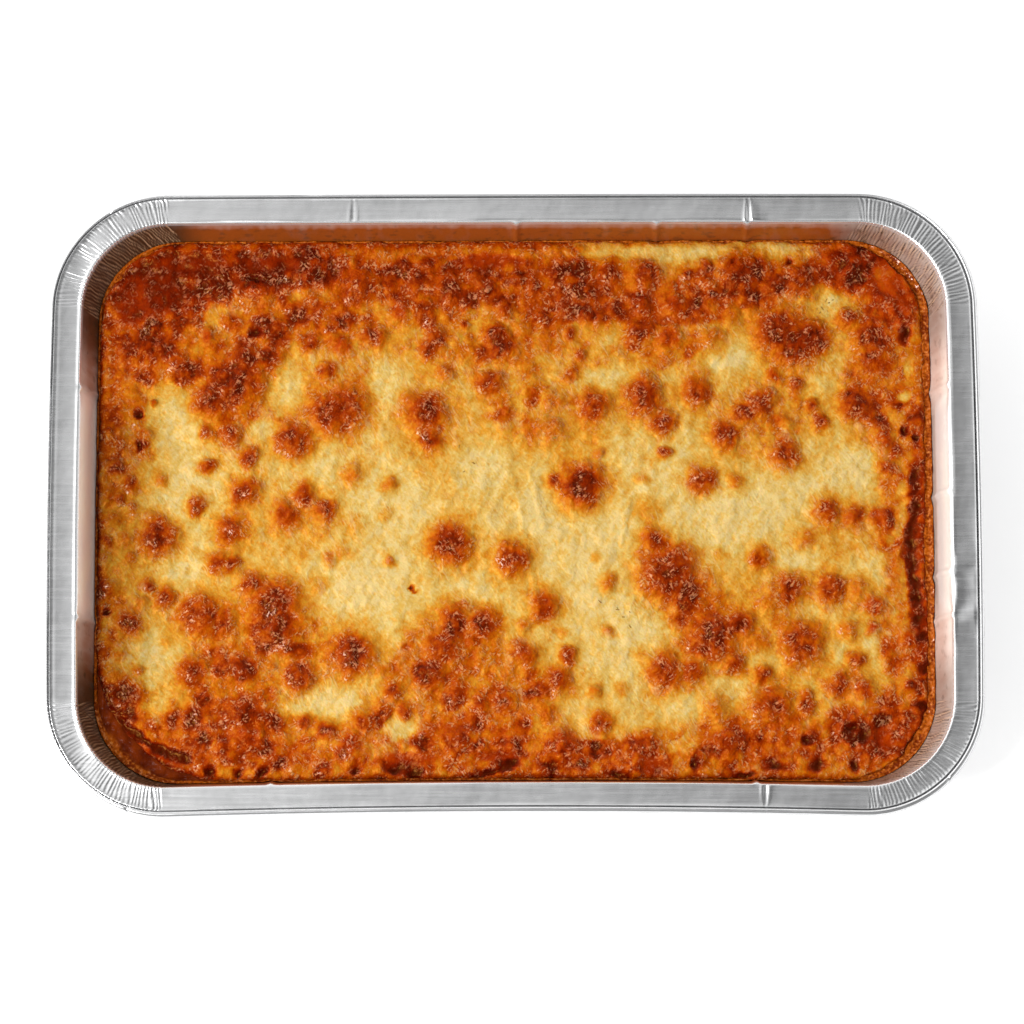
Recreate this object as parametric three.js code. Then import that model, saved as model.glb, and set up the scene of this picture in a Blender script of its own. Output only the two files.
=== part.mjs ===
// Foil tray meal: a family-size baked pasta dish in its pleated foil tray, with a meat sauce
// filling and a browned cheese top. Millimetres, +Z up, long side along X, origin at the
// centre of the tray's underside.
import * as THREE from "three";

// ---------------------------------------------------------------- driving dimensions

const TRAY_LENGTH = 315; // over the rolled rim, at the middle of the long sides' direction
const TRAY_WIDTH = 214; // over the rolled rim
const TRAY_HEIGHT = 45; // to the top of the rolled bead
const RIM_CORNER_RADIUS = 39.5; // outer corner of the rim
const END_BOW = 1.6; // how far the middle of each short side bulges outward
const FAR_BOW = 0.4; // the same for the far long side
const NEAR_BOW = 1.6; // how far the middle of the near long side is pressed inward
const NEAR_BOW_SPAN = 0.74; // share of the length over which it is pressed

const FOIL_THICKNESS = 0.5; // stand-in: the real foil is near 0.09
const RIM_WIDTH = 10.4; // from the outer edge to the cavity
const BEAD_WIDTH = 2.4; // the rolled edge
const BEAD_RISE = 0.8; // bead above the flat of the rim
const EDGE_ROUND = 1.1; // rounding from the rim into the wall

const MOUTH_HALF_LENGTH = 147.1; // cavity at the rim's level
const MOUTH_HALF_WIDTH = 96.6;
const MOUTH_CORNER_RADIUS = 29.1;
const END_WALL_SLOPE = 0.365; // horizontal run for each millimetre of drop
const SIDE_WALL_SLOPE = 0.205;
const CORNER_TIGHTENING = 0.06; // the corner radius shrinks this much per millimetre of drop
const HEEL = 4; // rounding between the wall and the floor

const PLEATS_PER_CORNER = 40;
const PLEAT_DEPTH = 0.34; // half the height of one pleat
const PLEAT_RAMP = 0.04; // share of the corner over which the pleats start and stop

const DART_WIDTH = 1.4;
const DART_DEPTH = 0.7;
const FAR_DARTS = [1, 49, 80]; // creases down the far wall, by X
const NEAR_DARTS = [-82, 81]; // and down the near wall
const RIGHT_DARTS = [40, 3.5, -24, -39]; // and down the right-hand wall, by Y
const LEFT_DARTS = [40, -39];

const GAP = 0.3; // clearance between neighbouring solids
const SAUCE_LIP_LEVEL = 30.4; // where the filling's crust meets the wall
const SAUCE_LEVEL = 29.2; // open sauce beside the cheese
const CHEESE_FLOOR = 28.9; // underside of the cheese, which lies on the sauce
const CHEESE_LEVEL = 31; // bare cheese, before lumps and blisters
const CHEESE_EDGE_LEVEL = 30.1;
const CHEESE_EDGE_ROUND = 5; // width of the sloping margin

// How far the cheese stops short of the wall on each side, and the radius of each of its
// corners, listed counter-clockwise from the far right. A wide corner leaves sauce open.
const CHEESE_INSET = { right: 2.6, far: 1.3, left: 1.3, near: 1.5 };
const CHEESE_CORNER_RADII = [34, 33, 49, 33];
const RIGHT_RECESS = { y: -15, halfLength: 24, depth: 3.2 }; // where the cheese shrank back

// Blistered patches of the cheese: [x, y, radius, rise].
const BLISTERS = [
  [-29, 33, 9.5, 1.7],
  [-8, 43, 5.5, 1.2],
  [13, 32, 7, 1.2],
  [44, 39, 8, 1.5],
  [62, 41, 6.4, 1.2],
  [23, 7.5, 9, 1.6],
  [-22, -12.5, 8, 1.6],
  [-0.5, -17, 6.4, 1.3],
  [63.5, 9, 6, 1.1],
  [53, -22, 12, 1.6],
  [68, -42, 11, 1.8],
  [81, 34, 8, 1.4],
  [92, 18.5, 8.5, 1.3],
  [97, -47, 9, 1.6],
  [54, -56, 10.5, 1.6],
  [85, -68, 7.5, 1.5],
  [10, -34, 7, 1.3],
  [-20, -50, 12, 1.6],
  [-7, -69, 9, 1.5],
  [-55, -49, 9, 1.8],
  [-80, -35, 12, 1.9],
  [-104, -38, 10, 1.7],
  [-121, -9, 7, 1.4],
  [-76, -1, 8, 1.2],
  [-95, -60, 11, 1.6],
  [-63, 34, 12, 1.6],
  [-95, 46, 13, 2],
  [93, 60, 12, 2],
  [122, 54, 11, 1.7],
  [116, 36, 8, 1.4],
];
const SMALL_BLISTERS = { count: 70, radius: [3.5, 6], rise: [0.5, 1.3], seed: 11 };
const LUMPS = { length: 26, height: 0.55 }; // long soft waves of the cheese

const CHEESE_CELLS = [60, 40];

const FOIL_LOOK = { color: 0xb4b5b6, metalness: 1, roughness: 0.35 };
const SAUCE_LOOK = { color: 0x9a2f0c, metalness: 0, roughness: 0.3 };
const CHEESE_LOOK = { color: 0xe0a446, metalness: 0, roughness: 0.45 };

// ---------------------------------------------------------------- outlines

/**
 * A rounded rectangle with its own place for each side and its own radius for each corner,
 * walked counter-clockwise by u: 0 to 1 is the right side, 1 to 2 the far right corner, and
 * so on round to 8 at the near right corner's end.
 */
class Outline {
  constructor({ right, far, left, near, radii }) {
    Object.assign(this, { right, far, left, near, radii });
  }

  static centred(halfLength, halfWidth, radius) {
    return new Outline({
      right: halfLength,
      far: halfWidth,
      left: -halfLength,
      near: -halfWidth,
      radii: [radius, radius, radius, radius],
    });
  }

  /** Centre of corner c, where 0 is the far right one and they run counter-clockwise. */
  cornerCentre(c) {
    const r = this.radii[c];
    const x = c === 0 || c === 3 ? this.right - r : this.left + r;
    const y = c < 2 ? this.far - r : this.near + r;
    return new THREE.Vector2(x, y);
  }

  /** Point at u, with the outward normal there. */
  at(u) {
    const segment = Math.floor(u) % 8;
    const share = u - Math.floor(u);
    if (segment % 2 === 1) {
      const corner = (segment - 1) / 2;
      const angle = (corner + share) * (Math.PI / 2);
      const normal = new THREE.Vector2(Math.cos(angle), Math.sin(angle));
      const point = this.cornerCentre(corner).addScaledVector(normal, this.radii[corner]);
      return { point, normal };
    }
    const side = segment / 2;
    const before = (side + 3) % 4;
    const normal = new THREE.Vector2(Math.cos(side * (Math.PI / 2)), Math.sin(side * (Math.PI / 2)));
    normal.set(Math.round(normal.x), Math.round(normal.y));
    const start = this.cornerCentre(before).addScaledVector(normal, this.radii[before]);
    const end = this.cornerCentre(side).addScaledVector(normal, this.radii[side]);
    return { point: start.lerp(end, share), normal };
  }

  /** Point of the filled outline at (p, q) of a square that runs from -1 to 1 both ways. */
  inside(p, q) {
    const point = new THREE.Vector2(
      THREE.MathUtils.lerp(this.left, this.right, (p + 1) / 2),
      THREE.MathUtils.lerp(this.near, this.far, (q + 1) / 2),
    );
    const corner = p >= 0 ? (q >= 0 ? 0 : 3) : q >= 0 ? 1 : 2;
    const radius = this.radii[corner];
    const centre = this.cornerCentre(corner);
    const a = ((point.x - centre.x) * Math.sign(p)) / radius;
    const b = ((point.y - centre.y) * Math.sign(q)) / radius;
    if (a <= 0 || b <= 0) return point;
    return new THREE.Vector2(
      centre.x + Math.sign(p) * radius * a * Math.sqrt(1 - (b * b) / 2),
      centre.y + Math.sign(q) * radius * b * Math.sqrt(1 - (a * a) / 2),
    );
  }
}

/** The rim's outline at a distance inside its outer edge. */
function rimOutline(offset) {
  return Outline.centred(
    TRAY_LENGTH / 2 - offset,
    TRAY_WIDTH / 2 - offset,
    RIM_CORNER_RADIUS - offset,
  );
}

/** The cavity's outline at height z, moved inward from the wall by inset. */
function cavityOutline(z, inset = 0) {
  const drop = TRAY_HEIGHT - BEAD_RISE - z;
  return Outline.centred(
    MOUTH_HALF_LENGTH - drop * END_WALL_SLOPE - inset,
    MOUTH_HALF_WIDTH - drop * SIDE_WALL_SLOPE - inset,
    MOUTH_CORNER_RADIUS - drop * CORNER_TIGHTENING - inset,
  );
}

/** The cheese's outline at height z, grown by extra. */
function cheeseOutline(z, extra = 0) {
  const wall = cavityOutline(z);
  return new Outline({
    right: wall.right - CHEESE_INSET.right + extra,
    far: wall.far - CHEESE_INSET.far + extra,
    left: wall.left + CHEESE_INSET.left - extra,
    near: wall.near + CHEESE_INSET.near - extra,
    radii: CHEESE_CORNER_RADII.map((radius) => radius + extra),
  });
}

/** The sides of a foil tray are never straight: bends a point of any solid with the rim. */
function bowed(point) {
  const lift = point.z / TRAY_HEIGHT;
  const along = (2 * point.x) / TRAY_LENGTH;
  const across = (2 * point.y) / TRAY_WIDTH;
  const endShift = -END_BOW * across * across * along;
  const press = Math.max(0, 1 - (along / NEAR_BOW_SPAN) ** 2);
  const sideShift = (across > 0 ? -FAR_BOW * along * along : -NEAR_BOW * press) * across;
  return point.set(point.x + lift * endShift, point.y + lift * sideShift, point.z);
}

/** Pulls the cheese's right-hand margin back from the wall along the recess. */
function recessed(point) {
  const along = (point.y - RIGHT_RECESS.y) / RIGHT_RECESS.halfLength;
  if (point.x < 0 || Math.abs(along) >= 1) return point;
  const nearEdge = THREE.MathUtils.smoothstep(point.x, 90, 140);
  point.x -= RIGHT_RECESS.depth * nearEdge * Math.cos((along * Math.PI) / 2) ** 2;
  return point;
}

// ---------------------------------------------------------------- solids from rings

/** Triangles gathered one by one, and turned into a geometry at the end. */
class Skin {
  constructor() {
    this.positions = [];
  }

  triangle(a, b, c) {
    for (const corner of [a, b, c]) this.positions.push(corner.x, corner.y, corner.z);
  }

  /** Joins two rings of any two counts. Each is a list of {u, p}, with u rising. */
  strip(lower, upper) {
    const turn = 8;
    const uAt = (ring, i) => ring[i % ring.length].u + turn * Math.floor(i / ring.length);
    const pAt = (ring, i) => ring[i % ring.length].p;
    let i = 0;
    let j = 0;
    while (i < lower.length || j < upper.length) {
      const lowerFirst = uAt(lower, i + 1) < uAt(upper, j + 1) - 1e-9;
      const canLower = i < lower.length;
      const canUpper = j < upper.length;
      if (canLower && (lowerFirst || !canUpper)) {
        this.triangle(pAt(lower, i), pAt(lower, i + 1), pAt(upper, j));
        i += 1;
      } else {
        this.triangle(pAt(lower, i), pAt(upper, j + 1), pAt(upper, j));
        j += 1;
      }
    }
  }

  /** Closes a ring with a fan round its middle, facing up or down. */
  cap(ring, facingUp) {
    const middle = new THREE.Vector3(0, 0, ring[0].p.z);
    ring.forEach(({ p }, i) => {
      const next = ring[(i + 1) % ring.length].p;
      if (facingUp) this.triangle(middle, p, next);
      else this.triangle(middle, next, p);
    });
  }

  /** Closed skin that runs through the rings in order, with a cap at each end. */
  throughRings(rings) {
    this.cap(rings[0], false);
    for (let i = 1; i < rings.length; i += 1) this.strip(rings[i - 1], rings[i]);
    this.cap(rings[rings.length - 1], true);
    return this;
  }

  mesh(name, look) {
    const geometry = new THREE.BufferGeometry();
    geometry.setAttribute("position", new THREE.Float32BufferAttribute(this.positions, 3));
    geometry.computeVertexNormals();
    const made = new THREE.Mesh(geometry, new THREE.MeshStandardMaterial(look));
    made.name = name;
    return made;
  }
}

/** Values of u with perCorner steps in each corner and perSide in each straight side. */
function stations(perCorner, perSide) {
  const list = [];
  for (let segment = 0; segment < 8; segment += 1) {
    const steps = segment % 2 === 1 ? perCorner : perSide;
    for (let i = 0; i < steps; i += 1) list.push(segment + i / steps);
  }
  return list;
}

/** A ring of an outline at height z, bowed with the tray. */
function levelRing(outline, z, us) {
  return us.map((u) => {
    const { point } = outline.at(u);
    return { u, p: bowed(new THREE.Vector3(point.x, point.y, z)) };
  });
}

// ---------------------------------------------------------------- the tray

const SMOOTH_STATIONS = stations(10, 12);

/** Two steps for each pleat, and three extra ones at each dart of the straight sides. */
function creasedStations() {
  const list = stations(2 * PLEATS_PER_CORNER, 12);
  const mouth = cavityOutline(TRAY_HEIGHT - BEAD_RISE);
  const longRun = mouth.right - mouth.radii[0];
  const shortRun = mouth.far - mouth.radii[0];
  const add = (segment, places, run, direction) => {
    for (const place of places)
      for (const shift of [-DART_WIDTH, 0, DART_WIDTH])
        list.push(segment + (1 + (direction * (place + shift)) / run) / 2);
  };
  add(0, RIGHT_DARTS, shortRun, 1);
  add(2, FAR_DARTS, longRun, -1);
  add(4, LEFT_DARTS, shortRun, -1);
  add(6, NEAR_DARTS, longRun, 1);
  return list.sort((a, b) => a - b);
}

const CREASED_STATIONS = creasedStations();

/** Zigzag of the pleats at u: plus or minus one within a corner, 0 along the sides. */
function pleatAt(u) {
  const segment = Math.floor(u);
  if (segment % 2 === 0) return 0;
  const share = u - segment;
  const step = Math.round(share * 2 * PLEATS_PER_CORNER);
  const ramp = Math.min(1, share / PLEAT_RAMP, (1 - share) / PLEAT_RAMP);
  return (step % 2 === 0 ? -1 : 1) * ramp;
}

/** How deep a dart presses the foil in at a place, from 0 to 1. */
function dartAt(point, normal) {
  const far = normal.y > 0.9 ? FAR_DARTS : [];
  const near = normal.y < -0.9 ? NEAR_DARTS : [];
  const right = normal.x > 0.9 ? RIGHT_DARTS : [];
  const left = normal.x < -0.9 ? LEFT_DARTS : [];
  const depthOf = (place, where) => Math.max(0, 1 - Math.abs(place - where) / DART_WIDTH);
  const depths = [
    ...[...far, ...near].map((where) => depthOf(point.x, where)),
    ...[...right, ...left].map((where) => depthOf(point.y, where)),
  ];
  return Math.max(0, ...depths);
}

/**
 * A pleated and darted ring. The pleats move it along `lean`, given as its outward and its
 * upward share, and the darts move it inward by `dart` of their depth.
 */
function creasedRing(outline, z, lean, dart) {
  return CREASED_STATIONS.map((u) => {
    const { point, normal } = outline.at(u);
    const pleat = PLEAT_DEPTH * pleatAt(u);
    const press = dart * DART_DEPTH * dartAt(point, normal);
    const out = pleat * lean.out - press;
    const up = pleat * lean.up - press * 0.3;
    const place = new THREE.Vector3(point.x + out * normal.x, point.y + out * normal.y, z + up);
    return { u, p: bowed(place) };
  });
}

function buildTray() {
  const flat = TRAY_HEIGHT - BEAD_RISE;
  const under = flat - FOIL_THICKNESS;
  const wallTop = flat - EDGE_ROUND;
  const heelRun = HEEL * 0.3;
  const rim = { out: 0, up: 1 };
  const edge = { out: 0.7, up: 0.7 };
  const smooth = (outline, z) => levelRing(outline, z, SMOOTH_STATIONS);
  const rings = [
    smooth(cavityOutline(0, HEEL), 0),
    smooth(cavityOutline(heelRun, heelRun - FOIL_THICKNESS), heelRun),
    smooth(cavityOutline(HEEL, -FOIL_THICKNESS), HEEL),
    creasedRing(cavityOutline(wallTop, -FOIL_THICKNESS), wallTop - FOIL_THICKNESS, edge, 1),
    creasedRing(rimOutline(RIM_WIDTH - EDGE_ROUND), under, rim, 0.4),
    creasedRing(rimOutline(BEAD_WIDTH), under, rim, 0),
    smooth(rimOutline(BEAD_WIDTH / 2), under - 0.6),
    smooth(rimOutline(0.2), under),
    smooth(rimOutline(0), flat + BEAD_RISE * 0.3),
    smooth(rimOutline(BEAD_WIDTH * 0.3), flat + BEAD_RISE),
    smooth(rimOutline(BEAD_WIDTH * 0.65), flat + BEAD_RISE * 0.9),
    creasedRing(rimOutline(BEAD_WIDTH), flat, rim, 0),
    creasedRing(rimOutline(RIM_WIDTH - EDGE_ROUND), flat, rim, 0.4),
    creasedRing(cavityOutline(wallTop), wallTop, edge, 1),
    smooth(cavityOutline(HEEL + FOIL_THICKNESS), HEEL + FOIL_THICKNESS),
    smooth(cavityOutline(heelRun + FOIL_THICKNESS, heelRun), heelRun + FOIL_THICKNESS),
    smooth(cavityOutline(FOIL_THICKNESS, HEEL + FOIL_THICKNESS), FOIL_THICKNESS),
  ];
  return new Skin().throughRings(rings).mesh("foil_tray", FOIL_LOOK);
}

// ---------------------------------------------------------------- the filling

/** The ring halfway between two others, at height z. */
function ringBetween(first, second, z) {
  return first.map(({ u, p }, i) => ({ u, p: p.clone().lerp(second[i].p, 0.5).setZ(z) }));
}

function buildSauce() {
  const base = FOIL_THICKNESS + GAP;
  const top = CHEESE_FLOOR - GAP;
  const at = (outline, z) => levelRing(outline, z, SMOOTH_STATIONS);
  const lip = at(cavityOutline(SAUCE_LIP_LEVEL, 3 * GAP), SAUCE_LIP_LEVEL);
  const shore = at(cheeseOutline(top, GAP), top).map(({ u, p }) => ({ u, p: recessed(p) }));
  const rings = [
    at(cavityOutline(base, HEEL + FOIL_THICKNESS + GAP), base),
    at(cavityOutline(base + HEEL * 0.3, HEEL * 0.3 + 2 * GAP), base + HEEL * 0.3),
    at(cavityOutline(base + HEEL, GAP), base + HEEL),
    at(cavityOutline(SAUCE_LIP_LEVEL - 0.3, 2.3 * GAP), SAUCE_LIP_LEVEL - 0.3),
    lip,
    ringBetween(lip, shore, SAUCE_LEVEL),
    shore,
  ];
  return new Skin().throughRings(rings).mesh("sauce_filling", SAUCE_LOOK);
}

// ---------------------------------------------------------------- the cheese

/** Extra blisters, drawn by a seeded rule over the whole top. */
function smallBlisters() {
  const { count, radius, rise, seed } = SMALL_BLISTERS;
  THREE.MathUtils.seededRandom(seed);
  const draw = (low, high) => THREE.MathUtils.lerp(low, high, THREE.MathUtils.seededRandom());
  return Array.from({ length: count }, () => {
    const x = draw(-132, 132);
    const y = draw(-84, 84);
    return [x, y, draw(...radius), draw(...rise)];
  });
}

const ALL_BLISTERS = [...BLISTERS, ...smallBlisters()];

/** Rounded bump: 1 in the middle and 0 from the radius on. */
function dome(distance, radius) {
  const share = Math.min(1, distance / radius);
  return (1 - share * share) ** 1.5;
}

/** Height of the cheese at a place, where margin is the share of the way in from its edge. */
function cheeseHeight(x, y, margin) {
  const wave = (2 * Math.PI) / LUMPS.length;
  const lumps =
    Math.sin(wave * x + 1.3) * Math.cos(wave * 0.8 * y) +
    0.6 * Math.sin(wave * 1.7 * y - 0.4 * wave * x);
  let blister = 0;
  for (const [cx, cy, radius, rise] of ALL_BLISTERS)
    blister = Math.max(blister, rise * dome(Math.hypot(x - cx, y - cy), 1.15 * radius));
  const full = CHEESE_LEVEL + LUMPS.height * lumps + blister;
  return THREE.MathUtils.lerp(CHEESE_EDGE_LEVEL, full, Math.sqrt(margin));
}

function buildCheese() {
  const [columns, rows] = CHEESE_CELLS;
  const top = cheeseOutline(CHEESE_EDGE_LEVEL);
  const bottom = cheeseOutline(CHEESE_FLOOR);
  const halfLength = (top.right - top.left) / 2;
  const halfWidth = (top.far - top.near) / 2;
  const topAt = (i, j) => {
    const p = (2 * i) / columns - 1;
    const q = (2 * j) / rows - 1;
    const { x, y } = top.inside(p, q);
    const inward = Math.min((1 - Math.abs(p)) * halfLength, (1 - Math.abs(q)) * halfWidth);
    const margin = Math.min(1, inward / CHEESE_EDGE_ROUND);
    const place = new THREE.Vector3(x, y, CHEESE_EDGE_LEVEL);
    recessed(bowed(place));
    return place.setZ(cheeseHeight(place.x, place.y, margin));
  };
  const bottomAt = (i, j) => {
    const { x, y } = bottom.inside((2 * i) / columns - 1, (2 * j) / rows - 1);
    return recessed(bowed(new THREE.Vector3(x, y, CHEESE_FLOOR)));
  };

  const skin = new Skin();
  for (let i = 0; i < columns; i += 1)
    for (let j = 0; j < rows; j += 1) {
      const [a, b, c, d] = [topAt(i, j), topAt(i + 1, j), topAt(i + 1, j + 1), topAt(i, j + 1)];
      skin.triangle(a, b, c);
      skin.triangle(a, c, d);
    }
  const border = [];
  for (let j = 0; j < rows; j += 1) border.push([columns, j]);
  for (let i = columns; i > 0; i -= 1) border.push([i, rows]);
  for (let j = rows; j > 0; j -= 1) border.push([0, j]);
  for (let i = 0; i < columns; i += 1) border.push([i, 0]);
  const turn = 8 / border.length;
  const ringOf = (placeAt) => border.map(([i, j], k) => ({ u: k * turn, p: placeAt(i, j) }));
  const underside = ringOf(bottomAt);
  skin.cap(underside, false);
  skin.strip(underside, ringOf(topAt));
  return skin.mesh("cheese_topping", CHEESE_LOOK);
}

// ---------------------------------------------------------------- the whole

const meal = new THREE.Group();
meal.name = "foil_tray_meal";
meal.add(buildTray(), buildSauce(), buildCheese());

export default meal;
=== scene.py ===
"""Foil tray meal: a browned, blistered cheese bake in an oblong foil tray with pleated corners.

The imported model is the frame. Three dressed pieces stand for its three nodes, and a few herb
flecks lie in the cheese. Sizes below are in millimetres and become metres in the meshes.
"""

import logging
import math
from dataclasses import dataclass
from enum import Enum, IntEnum
from typing import Any, Sequence, Union

import bmesh
import bpy
import numpy as np
from mathutils import Matrix, Vector


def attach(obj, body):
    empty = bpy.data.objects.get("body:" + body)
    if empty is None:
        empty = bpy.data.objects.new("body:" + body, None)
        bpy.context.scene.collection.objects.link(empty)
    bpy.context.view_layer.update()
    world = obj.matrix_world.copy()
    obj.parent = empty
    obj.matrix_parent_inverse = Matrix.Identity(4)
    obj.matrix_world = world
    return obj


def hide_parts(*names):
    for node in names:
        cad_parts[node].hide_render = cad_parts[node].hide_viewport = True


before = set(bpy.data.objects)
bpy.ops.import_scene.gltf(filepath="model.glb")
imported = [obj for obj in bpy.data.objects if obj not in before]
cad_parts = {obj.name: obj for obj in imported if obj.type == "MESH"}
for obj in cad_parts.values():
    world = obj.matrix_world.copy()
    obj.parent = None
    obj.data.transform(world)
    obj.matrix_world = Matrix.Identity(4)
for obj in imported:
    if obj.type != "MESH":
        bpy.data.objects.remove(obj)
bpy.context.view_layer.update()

LOG = logging.getLogger("foil_tray_meal")
MM = 0.001
Array = np.ndarray
Colour = tuple[float, float, float]


# ---------------------------------------------------------------- shader helpers


def tone(red: int, green: int, blue: int) -> Colour:
    """Turns a screen colour, 0 to 255 a channel, into the linear values a shader takes."""
    channels = [c / 255 for c in (red, green, blue)]
    return tuple(c / 12.92 if c <= 0.04045 else ((c + 0.055) / 1.055) ** 2.4 for c in channels)


def deeper(colour: Colour, share: float) -> Colour:
    """A colour that gives back a share of its light."""
    return tuple(channel * share for channel in colour)


class Value:
    """A number that varies over a surface, with Python's arithmetic on it."""

    def __init__(self, graph: "Graph", socket: bpy.types.NodeSocket) -> None:
        """Keeps a node's output and the graph it belongs to."""
        self.graph = graph
        self.socket = socket

    def _with(self, operation: str, first: "Number", second: "Number") -> "Value":
        """Adds the Math node of one operation."""
        node = self.graph.node("ShaderNodeMath", {"operation": operation}, {0: first, 1: second})
        return Value(self.graph, node.outputs[0])

    def __add__(self, other: "Number") -> "Value":
        """self + other."""
        return self._with("ADD", self, other)

    def __sub__(self, other: "Number") -> "Value":
        """self - other."""
        return self._with("SUBTRACT", self, other)

    def __rsub__(self, other: "Number") -> "Value":
        """other - self."""
        return self._with("SUBTRACT", other, self)

    def __mul__(self, other: "Number") -> "Value":
        """self * other."""
        return self._with("MULTIPLY", self, other)

    __radd__ = __add__
    __rmul__ = __mul__


Number = Union[Value, float]


class Graph:
    """The node tree of one material or of the world."""

    def __init__(self, tree: bpy.types.NodeTree) -> None:
        """Starts from an empty tree."""
        self.tree = tree
        tree.nodes.clear()

    def node(
        self, kind: str, settings: dict[str, Any] | None = None, inputs: dict[Any, Any] | None = None
    ) -> bpy.types.Node:
        """Adds a node.

        Args:
            kind: The node's type.
            settings: Its properties, set first. A ramp takes its "stops" as (place, colour).
            inputs: A number, a colour, a Value or a socket for each input's name or index.

        Returns:
            The node.
        """
        made = self.tree.nodes.new(kind)
        for name, setting in (settings or {}).items():
            if name == "stops":
                self._set_stops(made.color_ramp, setting)
            else:
                setattr(made, name, setting)
        for name, given in (inputs or {}).items():
            socket = given.socket if isinstance(given, Value) else given
            if isinstance(socket, bpy.types.NodeSocket):
                self.tree.links.new(socket, made.inputs[name])
            else:
                made.inputs[name].default_value = socket
        return made

    @staticmethod
    def _set_stops(ramp: bpy.types.ColorRamp, stops: Sequence[tuple[float, Colour]]) -> None:
        """Gives a ramp its stops.

        Args:
            ramp: The ramp, which starts with two stops.
            stops: At least two places and colours, from the lowest place up.
        """
        while len(ramp.elements) < len(stops):
            ramp.elements.new(1.0)
        for element, (place, colour) in zip(ramp.elements, stops):
            element.position = place
            element.color = (*colour, 1.0)

    def value(self, kind: str, settings: dict[str, Any], inputs: dict[Any, Any], out: Any = 0) -> Value:
        """Adds a node and gives one of its outputs as a Value."""
        return Value(self, self.node(kind, settings, inputs).outputs[out])

    def attribute(self, name: str) -> Value:
        """A number painted on the piece's points."""
        return self.value("ShaderNodeAttribute", {"attribute_name": name}, {}, "Fac")

    def grain(
        self, place: bpy.types.NodeSocket, size: float, detail: float = 2.0, bend: float = 0.0
    ) -> Value:
        """Adds cloudy noise.

        Args:
            place: Coordinates in metres.
            size: About how wide its blobs are, in millimetres.
            detail: How many finer layers it has.
            bend: How far its blobs are twisted.

        Returns:
            The noise, from 0 to 1.
        """
        scale = 1000.0 / (2.0 * size)
        inputs = {"Vector": place, "Scale": scale, "Detail": detail, "Distortion": bend}
        return self.value("ShaderNodeTexNoise", {}, inputs)

    def eased(self, value: Number, low: float, high: float) -> Value:
        """0 below `low`, 1 above `high` and a smooth step between."""
        inputs = {"Value": value, "From Min": low, "From Max": high}
        return self.value("ShaderNodeMapRange", {"interpolation_type": "SMOOTHSTEP"}, inputs)

    def ramp(self, value: Number, stops: Sequence[tuple[float, Colour]]) -> bpy.types.NodeSocket:
        """A colour picked from stops by a value."""
        return self.node("ShaderNodeValToRGB", {"stops": stops}, {0: value}).outputs[0]

    def mixed(self, share: Number, first: Any, second: Any) -> bpy.types.NodeSocket:
        """Mixes two colours.

        Args:
            share: How much of the second colour there is, from 0 to 1.
            first: A colour or a colour socket.
            second: Another.

        Returns:
            The mixed colour.
        """
        tints = [(*c, 1.0) if isinstance(c, tuple) else c for c in (first, second)]
        inputs = {0: share, 6: tints[0], 7: tints[1]}
        return self.node("ShaderNodeMix", {"data_type": "RGBA"}, inputs).outputs[2]

    def stretched(
        self, place: bpy.types.NodeSocket, scale: tuple[float, float, float], turn: float = 0.0
    ) -> bpy.types.NodeSocket:
        """Turns coordinates about the vertical and then scales them.

        Args:
            place: The coordinates.
            scale: The share that each axis keeps. A small one draws patterns out along it.
            turn: Degrees.

        Returns:
            The new coordinates.
        """
        spread = tuple(1 / share for share in scale)
        inputs = {"Vector": place, "Rotation": (0.0, 0.0, math.radians(turn)), "Scale": spread}
        return self.node("ShaderNodeMapping", {"vector_type": "TEXTURE"}, inputs).outputs[0]

    def relief(self, height: Number, before: Any = None) -> bpy.types.NodeSocket:
        """Adds a bump.

        Args:
            height: Its height in millimetres.
            before: The normal of a bump that lies under it.

        Returns:
            The bumped normal.
        """
        inputs = {"Height": height, "Distance": MM, "Strength": 1.0}
        if before is not None:
            inputs["Normal"] = before
        return self.node("ShaderNodeBump", {}, inputs).outputs[0]


@dataclass(frozen=True)
class Finish:
    """What a surface looks like. Each kind of finish gives its own inputs."""

    name: str = "finish"

    def inputs(self, graph: Graph) -> dict[str, Any]:
        """Values for the Principled surface's sockets."""
        raise NotImplementedError

    def material(self) -> bpy.types.Material:
        """Makes the finish's material.

        Returns:
            A material on one Principled surface.
        """
        material = bpy.data.materials.new(self.name)
        material.use_nodes = True
        graph = Graph(material.node_tree)
        surface = graph.node("ShaderNodeBsdfPrincipled", {}, self.inputs(graph))
        graph.node("ShaderNodeOutputMaterial", {}, {"Surface": surface.outputs[0]})
        return material


def object_place(graph: Graph) -> bpy.types.NodeSocket:
    """The place on the piece, in metres."""
    return graph.node("ShaderNodeTexCoord").outputs["Object"]


# ---------------------------------------------------------------- seeded fields


class Seed(IntEnum):
    """Which random layout each thing follows."""

    RAGGED_EDGES = 3
    BUBBLES = 4
    FOLD_STRENGTHS = 5
    BROAD_BROWNING = 8
    SMALL_BUBBLES = 9
    SWELLS = 12
    LUMPS = 13
    CRUMBS = 14
    PULLED_STREAKS = 15
    MARGIN = 17
    PEBBLES = 21
    SCORCH = 23
    RIM_WAVES = 31
    FILLING = 40
    FILLING_TOP = 44
    CRUST = 47
    FOLD_WANDER = 57
    SOAKED_EDGES = 61
    HERBS = 77


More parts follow.
